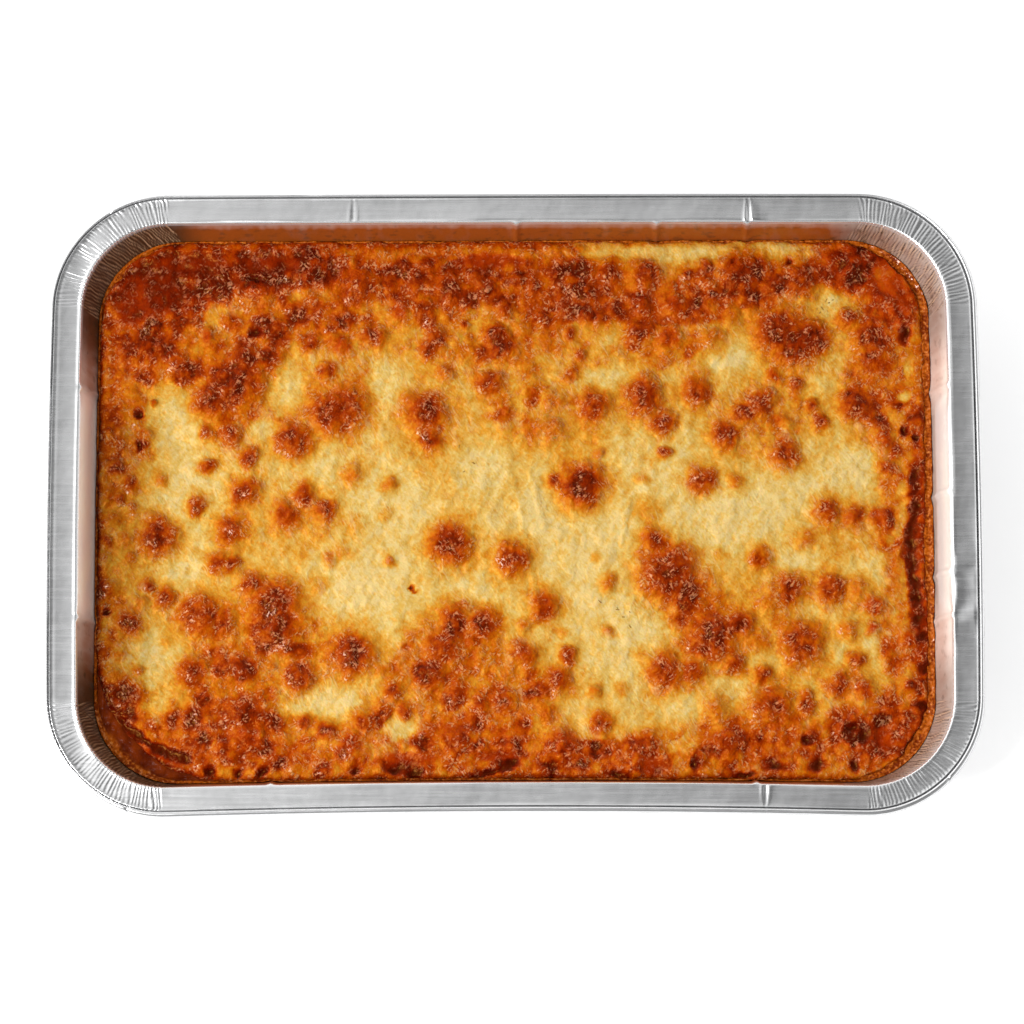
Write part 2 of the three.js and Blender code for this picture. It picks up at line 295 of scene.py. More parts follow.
class Grain:
    """Smooth seeded noise over the plane, worked out for whole arrays at once."""

    def __init__(self, seed: int) -> None:
        """Draws the slopes of one noise.

        Args:
            seed: Which noise it is.
        """
        draw = np.random.default_rng(seed)
        turns = draw.uniform(0, 2 * np.pi, 256)
        self.slopes = np.stack([np.cos(turns), np.sin(turns)], axis=-1)
        self.order = draw.permutation(256)

    def at(self, x: Array, y: Array, size: float) -> Array:
        """Works out the noise.

        Args:
            x: Places along X.
            y: Places along Y.
            size: How wide its blobs are.

        Returns:
            The noise at each place, from about -1 to 1.
        """
        gx, gy = np.asarray(x, float) / size, np.asarray(y, float) / size
        ix, iy = np.floor(gx).astype(int), np.floor(gy).astype(int)
        fx, fy = gx - ix, gy - iy

        def corner(dx: int, dy: int) -> Array:
            """Slope of one cell corner at the places."""
            slope = self.slopes[self.order[(self.order[(ix + dx) & 255] + iy + dy) & 255]]
            return slope[..., 0] * (fx - dx) + slope[..., 1] * (fy - dy)

        ease_x, ease_y = (f * f * f * (f * (f * 6 - 15) + 10) for f in (fx, fy))
        low = corner(0, 0) * (1 - ease_x) + corner(1, 0) * ease_x
        high = corner(0, 1) * (1 - ease_x) + corner(1, 1) * ease_x
        return 1.5 * (low * (1 - ease_y) + high * ease_y)

    def layered(self, x: Array, y: Array, size: float, layers: int = 3) -> Array:
        """Noise of several sizes, each half as wide and half as strong as the last."""
        return sum(self.at(x, y, size / 2**k) / 2**k for k in range(layers))


class Cells:
    """Seeded cells over the plane, for things that lie side by side such as bubbles."""

    def __init__(self, seed: int) -> None:
        """Draws the jitter and the share of each cell.

        Args:
            seed: Which layout it is.
        """
        draw = np.random.default_rng(seed)
        self.jitter = draw.uniform(-0.38, 0.38, (64, 64, 2))
        self.shares = draw.uniform(0, 1, (64, 64))

    def at(self, x: Array, y: Array, size: float) -> tuple[Array, Array]:
        """Finds the nearest cell.

        Args:
            x: Places along X.
            y: Places along Y.
            size: Distance between cells.

        Returns:
            The distance to the nearest cell's middle, in cells, and that cell's share.
        """
        gx, gy = x / size, y / size
        nearest, share = np.full(gx.shape, 9.0), np.zeros(gx.shape)
        for dx in (-1, 0, 1):
            for dy in (-1, 0, 1):
                cx, cy = np.floor(gx).astype(int) + dx, np.floor(gy).astype(int) + dy
                jitter = self.jitter[cx & 63, cy & 63]
                away = np.hypot(gx - cx - 0.5 - jitter[..., 0], gy - cy - 0.5 - jitter[..., 1])
                closer = away < nearest
                nearest = np.where(closer, away, nearest)
                share = np.where(closer, self.shares[cx & 63, cy & 63], share)
        return nearest, share


def eased(value: Array, low: float, high: float) -> Array:
    """0 below `low`, 1 above `high` and a smooth step between. `low` may be the larger."""
    share = np.clip((value - low) / (high - low), 0, 1)
    return share * share * (3 - 2 * share)


def from_line(
    x: Array, y: Array, start: tuple[float, float], end: tuple[float, float], stray: Array | float = 0.0
) -> Array:
    """Works out how far places are from a straight line.

    Args:
        x: Places along X.
        y: Places along Y.
        start: Where the line starts.
        end: Where it ends.
        stray: How far each place's nearest point strays along X.

    Returns:
        The distances.
    """
    (ax, ay), (bx, by) = start, end
    run_x, run_y = bx - ax, by - ay
    run = np.clip(((x - ax) * run_x + (y - ay) * run_y) / (run_x**2 + run_y**2), 0, 1)
    return np.hypot(x - ax - run * run_x + stray, y - ay - run * run_y)


# ---------------------------------------------------------------- outlines of the tray


@dataclass(frozen=True)
class Outline:
    """A rounded rectangle with its own place for each side and radius for each corner."""

    right: float
    far: float
    left: float
    near: float
    radii: tuple[float, float, float, float]

    @classmethod
    def centred(cls, half_length: float, half_width: float, radius: float) -> "Outline":
        """One that is the same on all sides."""
        return cls(half_length, half_width, -half_length, -half_width, (radius,) * 4)

    def corner_centres(self) -> tuple[Array, Array]:
        """Finds the middles of the corners' arcs.

        Returns:
            Their X and their Y, from the far right corner round.
        """
        r = np.array(self.radii)
        x = np.array([self.right, self.left, self.left, self.right]) - r * [1, -1, -1, 1]
        y = np.array([self.far, self.far, self.near, self.near]) - r * [1, 1, -1, -1]
        return x, y

    def at(self, u: Array) -> tuple[Array, Array]:
        """Walks the outline counter-clockwise.

        Args:
            u: 0 to 1 is the right side, 1 to 2 the far right corner, and so on to 8.

        Returns:
            The points and the outward normals there, each as rows of X and Y.
        """
        segment, share = np.floor(u).astype(int) % 8, u - np.floor(u)
        side, in_corner = segment // 2, segment % 2 == 1
        centre_x, centre_y = self.corner_centres()
        radii = np.array(self.radii)
        angle = (side + np.where(in_corner, share, 0)) * (np.pi / 2)
        normal = np.stack([np.cos(angle), np.sin(angle)], axis=-1)

        def touch(corner: Array) -> Array:
            """Where the side or corner arc meets this normal."""
            centre = np.stack([centre_x[corner], centre_y[corner]], axis=-1)
            return centre + normal * radii[corner][:, None]

        start, end = touch((side + 3) % 4), touch(side)
        straight = start + (end - start) * share[:, None]
        return np.where(in_corner[:, None], end, straight), normal

    def inside(self, p: Array, q: Array) -> tuple[Array, Array]:
        """Lays a square's points inside the outline.

        Args:
            p: Places across the square, from -1 to 1.
            q: Places up it.

        Returns:
            X and Y of the points in the outline.
        """
        x = self.left + (self.right - self.left) * (p + 1) / 2
        y = self.near + (self.far - self.near) * (q + 1) / 2
        corner = np.where(p >= 0, np.where(q >= 0, 0, 3), np.where(q >= 0, 1, 2))
        centre_x, centre_y = (c[corner] for c in self.corner_centres())
        radius, sx, sy = np.array(self.radii)[corner], np.sign(p), np.sign(q)
        a, b = (x - centre_x) * sx / radius, (y - centre_y) * sy / radius
        rounded = (a > 0) & (b > 0)
        round_x = centre_x + sx * radius * a * np.sqrt(np.maximum(0, 1 - b * b / 2))
        round_y = centre_y + sy * radius * b * np.sqrt(np.maximum(0, 1 - a * a / 2))
        return np.where(rounded, round_x, x), np.where(rounded, round_y, y)


@dataclass(frozen=True)
class TrayForm:
    """The sizes that the tray and its contents share, as in the CAD frame."""

    length: float = 315
    width: float = 214
    height: float = 45
    rim_corner: float = 39.5
    rim_width: float = 10.4
    bead_width: float = 2.4
    bead_rise: float = 0.8
    edge_round: float = 1.1
    mouth: tuple[float, float, float] = (147.1, 96.6, 29.1)
    end_slope: float = 0.365
    side_slope: float = 0.205
    corner_tightening: float = 0.06
    heel: float = 4
    end_bow: float = 1.6
    far_bow: float = 0.4
    near_bow: float = 1.6
    near_bow_span: float = 0.74
    roll_shift: tuple[float, float, float, float] = (0.1, 0.4, 0.85, -0.3)
    roll_corner_shift: float = 0.4

    @property
    def flat(self) -> float:
        """Height of the flat of the rim."""
        return self.height - self.bead_rise

    def rim(self, offset: float) -> Outline:
        """The rim's outline at a distance inside its outer edge."""
        half_length, half_width = self.length / 2 - offset, self.width / 2 - offset
        return Outline.centred(half_length, half_width, self.rim_corner - offset)

    def rolled(self, offset: float, share: float) -> Outline:
        """Moves the rim's outline with its roll, which is tighter on some sides.

        Args:
            offset: Distance inside the rim's outer edge.
            share: How much of the sides' shift it gets.

        Returns:
            The outline.
        """
        rim, (right, far, left, near) = self.rim(offset), self.roll_shift
        radii = tuple(radius + share * self.roll_corner_shift for radius in rim.radii)
        return Outline(
            rim.right + share * right,
            rim.far + share * far,
            rim.left - share * left,
            rim.near - share * near,
            radii,
        )

    def cavity(self, z: float, inset: float = 0) -> Outline:
        """Finds the cavity's outline at a height.

        Args:
            z: The height.
            inset: How far it is moved inward from the wall.

        Returns:
            The outline.
        """
        drop, (length, width, radius) = self.flat - z, self.mouth
        return Outline.centred(
            length - drop * self.end_slope - inset,
            width - drop * self.side_slope - inset,
            radius - drop * self.corner_tightening - inset,
        )

    def bowed(self, x: Array, y: Array, z: Array) -> tuple[Array, Array]:
        """Bends places with the rim, whose sides aren't straight.

        Args:
            x: Places along X.
            y: Places along Y.
            z: Their heights.

        Returns:
            The bent X and Y.
        """
        lift, along, across = z / self.height, 2 * x / self.length, 2 * y / self.width
        press = np.maximum(0, 1 - (along / self.near_bow_span) ** 2)
        far, near = -self.far_bow * along**2, -self.near_bow * press
        shift_y = np.where(across > 0, far, near) * across
        return x - lift * self.end_bow * across**2 * along, y + lift * shift_y


# ---------------------------------------------------------------- meshes


def grown_row(
    bm: bmesh.types.BMesh, edges: list[bmesh.types.BMEdge]
) -> tuple[set[bmesh.types.BMVert], list[bmesh.types.BMEdge]]:
    """Extrudes a row of faces from a loop of edges.

    Args:
        bm: The mesh.
        edges: The loop.

    Returns:
        The row's new points and the new loop through them.
    """
    made = bmesh.ops.extrude_edge_only(bm, edges=edges)["geom"]
    fresh = {item for item in made if isinstance(item, bmesh.types.BMVert)}
    loop = [item for item in made if isinstance(item, bmesh.types.BMEdge) and set(item.verts) <= fresh]
    return fresh, loop


def loft(rings: Sequence[Array], close_bottom: bool, close_top: bool) -> bmesh.types.BMesh:
    """Draws a skin by extruding a circle of points from ring to ring.

    Args:
        rings: Rows of X, Y and Z in millimetres, as many in each ring.
        close_bottom: Whether the first ring is filled.
        close_top: Whether the last ring is filled.

    Returns:
        The skin, in metres, with each point's ring and place in it in the layers "hoop" and "station".
    """
    bm = bmesh.new()
    bmesh.ops.create_circle(bm, segments=len(rings[0]), radius=1.0)
    station = bm.verts.layers.int.new("station")
    hoop = bm.verts.layers.int.new("hoop")
    for index, vert in enumerate(bm.verts):
        vert[station] = index
        vert.co = Vector(rings[0][index]) * MM
    edges = list(bm.edges)
    if close_bottom:
        bmesh.ops.contextual_create(bm, geom=edges)
    for number, ring in enumerate(rings[1:], start=1):
        fresh, edges = grown_row(bm, edges)
        for vert in fresh:
            vert.co = Vector(ring[vert[station]]) * MM
            vert[hoop] = number
    if close_top:
        bmesh.ops.contextual_create(bm, geom=edges)
    return bm


def points_of(bm: bmesh.types.BMesh) -> Array:
    """Rows of a mesh's points."""
    return np.array([vert.co[:] for vert in bm.verts])


def taken(bm: bmesh.types.BMesh, name: str) -> Array:
    """Takes a layer off a mesh's points.

    Args:
        bm: The mesh.
        name: The layer of whole numbers.

    Returns:
        The layer's number for each point.
    """
    layer = bm.verts.layers.int[name]
    numbers = np.array([vert[layer] for vert in bm.verts])
    bm.verts.layers.int.remove(layer)
    return numbers


def facing_out(bm: bmesh.types.BMesh) -> bmesh.types.BMesh:
    """Merges doubles and turns a closed shell's faces outward.

    Args:
        bm: The mesh, which is changed.

    Returns:
        The same mesh.
    """
    bmesh.ops.remove_doubles(bm, verts=bm.verts, dist=1e-7)
    bmesh.ops.recalc_face_normals(bm, faces=bm.faces)
    return bm


def new_piece(
    name: str, bm: bmesh.types.BMesh, material: bpy.types.Material, paint: dict[str, Array] | None = None
) -> bpy.types.Object:
    """Makes a smooth piece of a mesh.

    Args:
        name: The piece's name.
        bm: Its mesh, which is used up.
        material: Its finish.
        paint: Numbers for each point, read by the finish.

    Returns:
        The piece.
    """
    mesh = bpy.data.meshes.new(name)
    bm.to_mesh(mesh)
    bm.free()
    mesh.shade_smooth()
    mesh.materials.append(material)
    for label, numbers in (paint or {}).items():
        layer = mesh.attributes.new(label, "FLOAT", "POINT")
        layer.data.foreach_set("value", np.asarray(numbers, np.float32))
    piece = bpy.data.objects.new(name, mesh)
    bpy.context.scene.collection.objects.link(piece)
    return piece


def stand_for(piece: bpy.types.Object, node: str) -> None:
    """Puts a piece in place of a CAD node.

    Args:
        piece: The dressed piece.
        node: The node that it hides.
    """
    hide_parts(node)
    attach(piece, "root")
    LOG.info("%s stands for %s: %d faces", piece.name, node, len(piece.data.polygons))


# ---------------------------------------------------------------- the foil tray


@dataclass(frozen=True)
class FoilFinish(Finish):
    """Thin rolled aluminium foil with a soft shine."""

    name: str = "foil"
    bright: Colour = (0.88, 0.88, 0.885)
    dull: Colour = (0.76, 0.765, 0.77)
    crease_shade: Colour = (0.04, 0.04, 0.045)
    roughness: float = 0.2

    def inputs(self, graph: Graph) -> dict[str, Any]:
        """Dresses bare foil in rolling lines and soft clouds, with painted shade in the bead's creases.

        Args:
            graph: The material's graph.

        Returns:
            Values for the surface's sockets.
        """
        place = object_place(graph)
        rolled = graph.grain(graph.stretched(place, (0.06, 1.6, 1.0)), 0.7, 3.0)
        clouds = graph.grain(place, 9.0, 3.0)
        metal = graph.mixed(rolled * 0.5 + clouds * 0.5, self.dull, self.bright)
        return {
            # Painted shade in the bead's groove and along its rolled-under edge.
            "Base Color": graph.mixed(graph.attribute("crease_shade"), metal, self.crease_shade),
            "Metallic": 1.0,
            "Roughness": rolled * 0.12 + self.roughness,
            "Normal": graph.relief(rolled * 0.02, graph.relief(clouds * 0.25)),
        }


@dataclass(frozen=True)
class GreasyFoilFinish(FoilFinish):
    """The same foil under the food's film, with painted reflections and painted shade on its walls."""

    name: str = "greasy_foil"
    pale_reflection: Colour = tone(238, 226, 216)
    gravy_and_food_reflection: Colour = tone(142, 68, 12)
    spatter_and_shade: Colour = tone(64, 40, 18)
    fold_highlight: Colour = tone(206, 166, 130)

    def inputs(self, graph: Graph) -> dict[str, Any]:
        """Lays streaky, spattered film on the foil, with painted reflections, shade and fold highlights.

        Args:
            graph: The material's graph.

        Returns:
            Values for the surface's sockets.
        """
        clean, place = super().inputs(graph), object_place(graph)
        streaks = graph.grain(graph.stretched(place, (1.0, 1.0, 0.25)), 1.6, 3.0)
        film_and_painted_reflection = graph.attribute("film_and_painted_reflection") * (streaks * 0.1 + 0.95)
        warm = graph.attribute("warm")
        # Painted reflection over the real grease: pale where the walls would mirror the light, brown where
        # they would mirror the food.
        tint = graph.mixed(warm + (streaks - 0.5) * 0.35, self.pale_reflection, self.gravy_and_food_reflection)
        spatter = graph.eased(graph.grain(place, 1.6, 3.0), 0.56, 0.68) * 0.35
        # Darker in the corners, low on the end walls and in the pleats' hollows as painted shade, with the
        # real spatter.
        tint = graph.mixed(graph.attribute("painted_shade") + spatter * warm, tint, self.spatter_and_shade)
        # Painted highlights along the crests of the pleats.
        tint = graph.mixed(graph.attribute("fold") * 0.8, tint, self.fold_highlight)
        return clean | {
            "Base Color": graph.mixed(film_and_painted_reflection, clean["Base Color"], tint),
            "Metallic": 1 - film_and_painted_reflection * 0.85,
            "Roughness": clean["Roughness"] + film_and_painted_reflection * 0.2,
        }


@dataclass(frozen=True)
class Hoop:
    """One ring of the tray's profile: where it runs and how creases move it.

    The shares say how much of the pleats' depth moves it out and up, of the darts' depth in and
    of the rim's waves up. Slant is how many pleats the folds have wandered by, and the crease
    share is how dark the hoop is painted, as painted shade in the bead's groove and under its roll.
    """

    outline: Outline
    z: float
    pleat_out: float = 0.0
    pleat_up: float = 0.0
    dart: float = 0.0
    slant: float = 0.0
    wave: float = 0.0
    crease_shade: float = 0.0


@dataclass
class FoilTray:
    """The pressed foil tray: floor, walls, pleated corners, flat rim and rolled bead."""

    form: TrayForm
    foil: float = 0.3
    floor_level: float = 0.5
    floor_inset: float = 6
    heel_steps: int = 3
    side_step: float = 1.5

    # The corners' folds, and how strong they are in each corner.
    pleats: int = 40
    columns: int = 5
    pleat_depth: float = 0.3
    pleat_ramp: float = 0.02
    pleat_steep: float = 0.62
    pleat_slant: float = 0.14
    pleats_from: float = 8
    pleats_over: float = 24
    pleat_strength: tuple[float, float] = (0.5, 1.05)
    corner_strengths: tuple[float, float, float, float] = (0.7, 1.0, 1.0, 0.75)

    # Creases pressed into the walls, as places along each side, and into the flat of the rim, as
    # place, side and depth.
    dart_width: float = 1.5
    dart_depth: float = 0.7
    dart_reach: float = 1.6
    dart_steps: int = 9
    far_darts: tuple[float, ...] = (1, 49, 80)
    near_darts: tuple[float, ...] = (-82, 81)
    right_darts: tuple[float, ...] = (40, 3.5, -24, -39)
    left_darts: tuple[float, ...] = (40, -39)
    rim_creases: tuple[tuple[float, int, float], ...] = ((80.6, 1, 1.0), (84.0, -1, 0.5), (-55.0, 1, 0.3))
    rim_crease_depth: float = 0.45

    # How far the rim waves and is pleated, a crumple at its right end as place, half widths and
    # depth, how far the left end leans out and down, and nicks in the bead as step and depth.
    rim_wave: float = 0.16
    rim_pleat: float = 0.75
    rim_slant: float = 0.09
    bead_wave: float = 0.4
    crumple: tuple[float, float, float, float, float] = (152, -33, 9, 17, 0.42)
    left_lean: float = 0.045
    nicks: tuple[tuple[float, float], ...] = ((3.35, 0.5), (1.4, 0.3), (5.8, 0.35), (7.5, 0.3), (2.8, 0.3))
    nick_width: float = 0.012
    belly: float = 3.6
    belly_from: float = 32

    # The profile: heights up the wall; shares of the turn on to the rim; the flat's offsets from
    # the edge and how far they sag; the bead's offsets, rises over the flat, shares of the roll,
    # shares of the pleats and how dark the creases are painted, as painted shade.
    wall_heights: tuple[float, ...] = (
        10, 17, 23, 27, 29, 31, 32.8, 34.5, 36.1, 37.6, 39, 40.2, 41.3, 42.2,
    )
    lip_shares: tuple[float, ...] = (0.35, 0.65, 0.85)
    flat_steps: tuple[tuple[float, float], ...] = ((7.4, 0.05), (5.6, 0.05), (3.9, 0.03), (2.95, 0.0))
    bead_steps: tuple[tuple[float, float, float, float, float], ...] = (
        (2.5, 0.02, 1, 0.6, 0), (2.32, 0.12, 1, 0.2, 0), (2.2, -0.85, 1, 0, 0.6),
        (1.82, -0.85, 1, 0, 0.6), (1.7, 0.35, 1, 0, 0.1), (1.45, 0.72, 0.8, 0, 0),
        (1.1, 0.8, 0.5, 0, 0.1), (0.72, 0.62, 0.25, 0, 0.35), (0.42, 0.3, 0.1, 0, 0.3),
        (0.05, -0.4, 0, 0, 0.55), (0.35, -1.25, 0, 0, 0.8), (0.95, -1.4, 0, 0, 0),
        (1.5, -1.15, 0, 0, 0),
    )
    outside: FoilFinish = FoilFinish(bright=(0.42, 0.42, 0.43), dull=(0.31, 0.31, 0.32), roughness=0.34)
    inside: FoilFinish = GreasyFoilFinish()

    def stations(self) -> Array:
        """Chooses steps round the tray: fine in the corners and at the darts, coarse elsewhere.

        Returns:
            The steps, from 0 to 8 as an outline takes them.
        """
        mouth = self.form.cavity(self.form.flat)
        run_y, run_x = mouth.far - mouth.radii[0], mouth.right - mouth.radii[0]
        creases = {side: place for place, side, _ in self.rim_creases[1:]}
        sides = (
            (self.right_darts, run_y, 1),
            (self.far_darts + (creases[1],), run_x, -1),
            (self.left_darts, run_y, -1),
            (self.near_darts + (creases[-1],), run_x, 1),
        )
        close = np.linspace(-self.dart_reach, self.dart_reach, self.dart_steps) * self.dart_width
        turns = self.pleats * self.columns
        steps: list[float] = []
        for side, (darts, run, way) in enumerate(sides):
            marks = set(np.round(np.linspace(0, 1, int(run / self.side_step) + 1)[:-1], 5))
            for dart in darts:
                marks |= set(np.round((1 + way * (dart + close) / run) / 2, 5))
            steps += [2 * side + mark for mark in sorted(marks)]
            steps += [2 * side + 1 + k / turns for k in range(turns)]
        return np.array(steps)

    def pleat_wave(self, u: Array, slant: float) -> Array:
        """Works out the height of the pleats round the tray, each a fold with one steep side.

        Args:
            u: Steps round the tray.
            slant: How many pleats the folds have wandered by here.

        Returns:
            From -1 to 1, and 0 along the straight sides.
        """
        draw = np.random.default_rng(Seed.FOLD_STRENGTHS)
        strength = draw.uniform(*self.pleat_strength, (4, self.pleats + 8))
        strength = strength * np.array(self.corner_strengths)[:, None]
        corner, share = (np.floor(u).astype(int) // 2) % 4, u - np.floor(u)
        wander = Grain(Seed.FOLD_WANDER)
        here = wander.at(share * self.pleats + 60 * corner, np.full(len(u), slant * 2.3), 2.1)
        count = share * self.pleats + slant + 0.55 * here
        fold, turn = np.floor(count).astype(int), count - np.floor(count)
        saw = np.where(
            turn < self.pleat_steep, turn / self.pleat_steep, (1 - turn) / (1 - self.pleat_steep)
        )
        ramp = np.clip(np.minimum(share, 1 - share) / self.pleat_ramp, 0, 1)
        faded = wander.at(count + 300, np.full(len(u), slant * 1.7), 1.4)
        faded = np.clip(0.95 + 0.6 * faded, 0.3, 1.4)
        wave = (2 * saw - 1) * strength[corner, (fold + 4) % (self.pleats + 8)] * ramp * faded
        return np.where(np.floor(u).astype(int) % 2 == 1, wave, 0.0)

    def rim_crease(self, points: Array) -> Array:
        """Works out how sharply the flat of the rim is creased across.

        Args:
            points: Rows of X and Y.

        Returns:
            From -1, pressed down, to 1.
        """
        press = np.zeros(len(points))
        inner = eased(np.abs(points[:, 1]), 105.5, 98.5)
        for place, side, depth in self.rim_creases:
            away = np.abs(points[:, 0] - place) / (1.0 + 1.1 * inner)
            ridge = np.interp(away, (0, 0.55, 1), (-1, 0.7, 0))
            press += np.where(points[:, 1] * side > 90, depth * ridge * (0.25 + 0.75 * inner), 0)
        return press

    def dart_press(self, points: Array, normals: Array, reach: float = 1.0) -> Array:
        """Works out how deep the darts press the foil in.

        Args:
            points: Rows of X and Y on an outline.
            normals: The outline's normals there.
            reach: How many dart widths from a dart's middle count.

        Returns:
            From 0 to 1, at a dart's middle.
        """
        press = np.zeros(len(points))
        sides = (
            (self.right_darts, normals[:, 0] > 0.99, points[:, 1]),
            (self.left_darts, normals[:, 0] < -0.99, points[:, 1]),
            (self.far_darts, normals[:, 1] > 0.99, points[:, 0]),
            (self.near_darts, normals[:, 1] < -0.99, points[:, 0]),
        )
        for darts, on_side, place in sides:
            for dart in darts:
                depth = np.clip(1 - np.abs(place - dart) / (self.dart_width * reach), 0, 1)
                press = np.maximum(press, np.where(on_side, depth, 0))
        return press

    def floor_hoops(self) -> list[Hoop]:
        """Runs the profile over the floor and round the heel.

        Returns:
            The hoops, from the floor up.
        """
        form, base = self.form, self.floor_level
        hoops = [Hoop(form.cavity(base, form.heel + self.floor_inset), base)]
        for k in range(self.heel_steps + 1):
            turn = k / self.heel_steps * math.pi / 2
            rise = form.heel * (1 - math.cos(turn))
            inset = form.heel * (1 - math.sin(turn))
            hoops.append(Hoop(form.cavity(base + rise, inset), base + rise))
        return hoops

    def wall_hoops(self, top: float) -> list[Hoop]:
        """Runs the profile up the wall, where the pleats and darts grow.

        Args:
            top: The wall's upper end.

        Returns:
            The hoops, from the heel up.
        """
        hoops = []
        for z in (*self.wall_heights, top):
            grow = float(np.clip((z - self.pleats_from) / self.pleats_over, 0, 1))
            slant = (top - z) * self.pleat_slant
            hoops.append(Hoop(self.form.cavity(z), z, 1.0 * grow, 0.2 * grow, grow, slant))
        return hoops

    def lip_hoops(self, top: float, rim_in: float) -> list[Hoop]:
        """Turns the profile from the wall on to the flat of the rim.

        Args:
            top: The wall's upper end.
            rim_in: The flat's inner edge, as a distance inside the rim's outer edge.

        Returns:
            The hoops, from the wall out.
        """
        form, hoops = self.form, []
        wall, corner, lip = form.cavity(top), form.cavity(form.flat), form.rim(rim_in)
        for share in self.lip_shares:
            a, b, c = (1 - share) ** 2, 2 * share * (1 - share), share**2
            round_z = a * top + (b + c) * form.flat
            half_length = a * wall.right + b * corner.right + c * lip.right
            half_width = a * wall.far + b * corner.far + c * lip.far
            radius = a * wall.radii[0] + b * corner.radii[0] + c * lip.radii[0]
            outline = Outline.centred(half_length, half_width, radius)
            hoops.append(Hoop(outline, round_z, 0.6, 0.7, 1 - share * 0.6, 0))
        return hoops

    def hoops(self) -> list[Hoop]:
        """Draws the tray's profile, from the floor up the wall, over the rim and round the bead.

        Returns:
            The hoops in that order.
        """
        form, flat = self.form, self.form.flat
        top = flat - form.edge_round * 0.7
        rim_in = form.rim_width - form.edge_round * 0.6
        hoops = self.floor_hoops() + self.wall_hoops(top) + self.lip_hoops(top, rim_in)
        for offset, sag in ((rim_in, 0.0), (rim_in - 0.9, 0.03), *self.flat_steps):
            slant = (offset - rim_in) * self.rim_slant
            hoops.append(Hoop(form.rim(offset), flat - sag, pleat_up=self.rim_pleat, slant=slant, wave=1))
        for offset, rise, share, up, crease_shade in self.bead_steps:
            outline, wave = form.rolled(offset, share), self.bead_wave
            hoops.append(Hoop(outline, flat + rise, pleat_up=up, wave=wave, crease_shade=crease_shade))
        return hoops

    def flare(self, x: Array, y: Array, z: Array) -> Array:
        """How far the end walls belly inward between their darts, so that their tops flare."""
        height = np.clip((z - self.belly_from) / (self.form.flat - self.belly_from), 0, 1)
        return -self.belly * np.sign(x) * self.bare_ends(x, y) * (height - height**2.8)

    def rim_lift(self, points: Array, x: Array, y: Array) -> Array:
        """Works out how far the creases, waves and dents lift the flat of the rim.

        Args:
            points: Rows of X and Y before the pleats.
            x: Places along X after them.
            y: Places along Y after them.

        Returns:
            Millimetres.
        """
        wave = Grain(Seed.RIM_WAVES)
        place_x, place_y, half_x, half_y, depth = self.crumple
        crumple = np.exp(-(((x - place_x) / half_x) ** 2) - ((y - place_y) / half_y) ** 2)
        crumple = crumple * depth * wave.layered(x + 90, y, 8, 2)
        lean = self.left_lean * eased(-x, 140, 148) * (152.0 + np.minimum(x, 0))
        lift = self.rim_wave * wave.at(x, y, 38) + crumple - lean
        return self.rim_crease_depth * self.rim_crease(points) + lift

    def ring(self, hoop: Hoop, u: Array) -> Array:
        """Draws one hoop, creased, waved and bowed.

        Args:
            hoop: The hoop.
            u: Steps round it.

        Returns:
            Rows of X, Y and Z.
        """
        points, normals = hoop.outline.at(u)
        pleat = self.pleat_depth * self.pleat_wave(u, hoop.slant)
        press = hoop.dart * self.dart_depth * self.dart_press(points, normals)
        out = pleat * hoop.pleat_out - press
        x, y = (points + normals * out[:, None]).T
        z = hoop.z + pleat * hoop.pleat_up * 0.5 - press * 0.3
        z = z + hoop.wave * self.rim_lift(points, x, y)
        nick = np.zeros(len(u))
        for place, size in self.nicks:
            nick = np.maximum(nick, size * np.exp(-(((u - place) / self.nick_width) ** 2)))
        z = z - np.where(hoop.z > self.form.flat + 0.2, nick, 0)
        x = x + self.flare(x, y, np.full(len(u), hoop.z))
        x, y = self.form.bowed(x, y, z)
        return np.stack([x, y, z], axis=-1)

    def bare_ends(self, x: Array, y: Array) -> Array:
        """1 in the middle of the end walls, where the foil flares, and 0 elsewhere."""
        middle = np.where(x < 0, eased(np.abs(y), 42, 34), eased(np.abs(y), 41, 30))
        return middle * np.where(np.abs(x) > 130, 1.0, 0.0)

    def stains(self, x: Array, y: Array, z: Array) -> dict[str, Array]:
        """Works out the film the food has left on the wall, with painted reflections and painted shade.

        Args:
            x: Places along X, in millimetres.
            y: Places along Y.
            z: Heights.

        Returns:
            The film with its painted reflections, how warm it is and the painted shade, one number for
            each place.
        """
        ends = self.bare_ends(x, y)
        corner = eased(np.abs(x), 104, 116) * eased(np.abs(y), 44, 64)
        pinkish = corner * eased(x, -10, 10)
        beside = eased(np.abs(x), 126, 133) * (1 - ends)
        # The film carries the food's grease and painted reflections: pale on the end walls, brown where
        # the food would be mirrored.
        film_and_painted_reflection = eased(z, 43.9, 42.8) * (1.0 - 0.35 * ends * eased(z, 33, 38))
        low_warmth = np.where(x > 0, 0.4, 0.14) * eased(z, 38, 31)
        warm = 1.15 - 0.3 * eased(z, 36, 42) - ends * (1.15 - low_warmth) - 0.4 * pinkish
        warm = warm - beside * np.where(x > 0, 0.6, 0.4) * (1 - 0.7 * corner)
        # Painted shade in the corners and low on the end walls, less in the pinkish right corners.
        low_shade = np.where(x > 0, 0.2 + 0.3 * eased(z, 35, 32), 0.0)
        painted_shade = 0.9 * corner - 0.4 * pinkish + 0.08 * beside * (1 - corner) * (x < 0) + ends * low_shade
        return {"film_and_painted_reflection": film_and_painted_reflection, "warm": warm, "painted_shade": painted_shade}

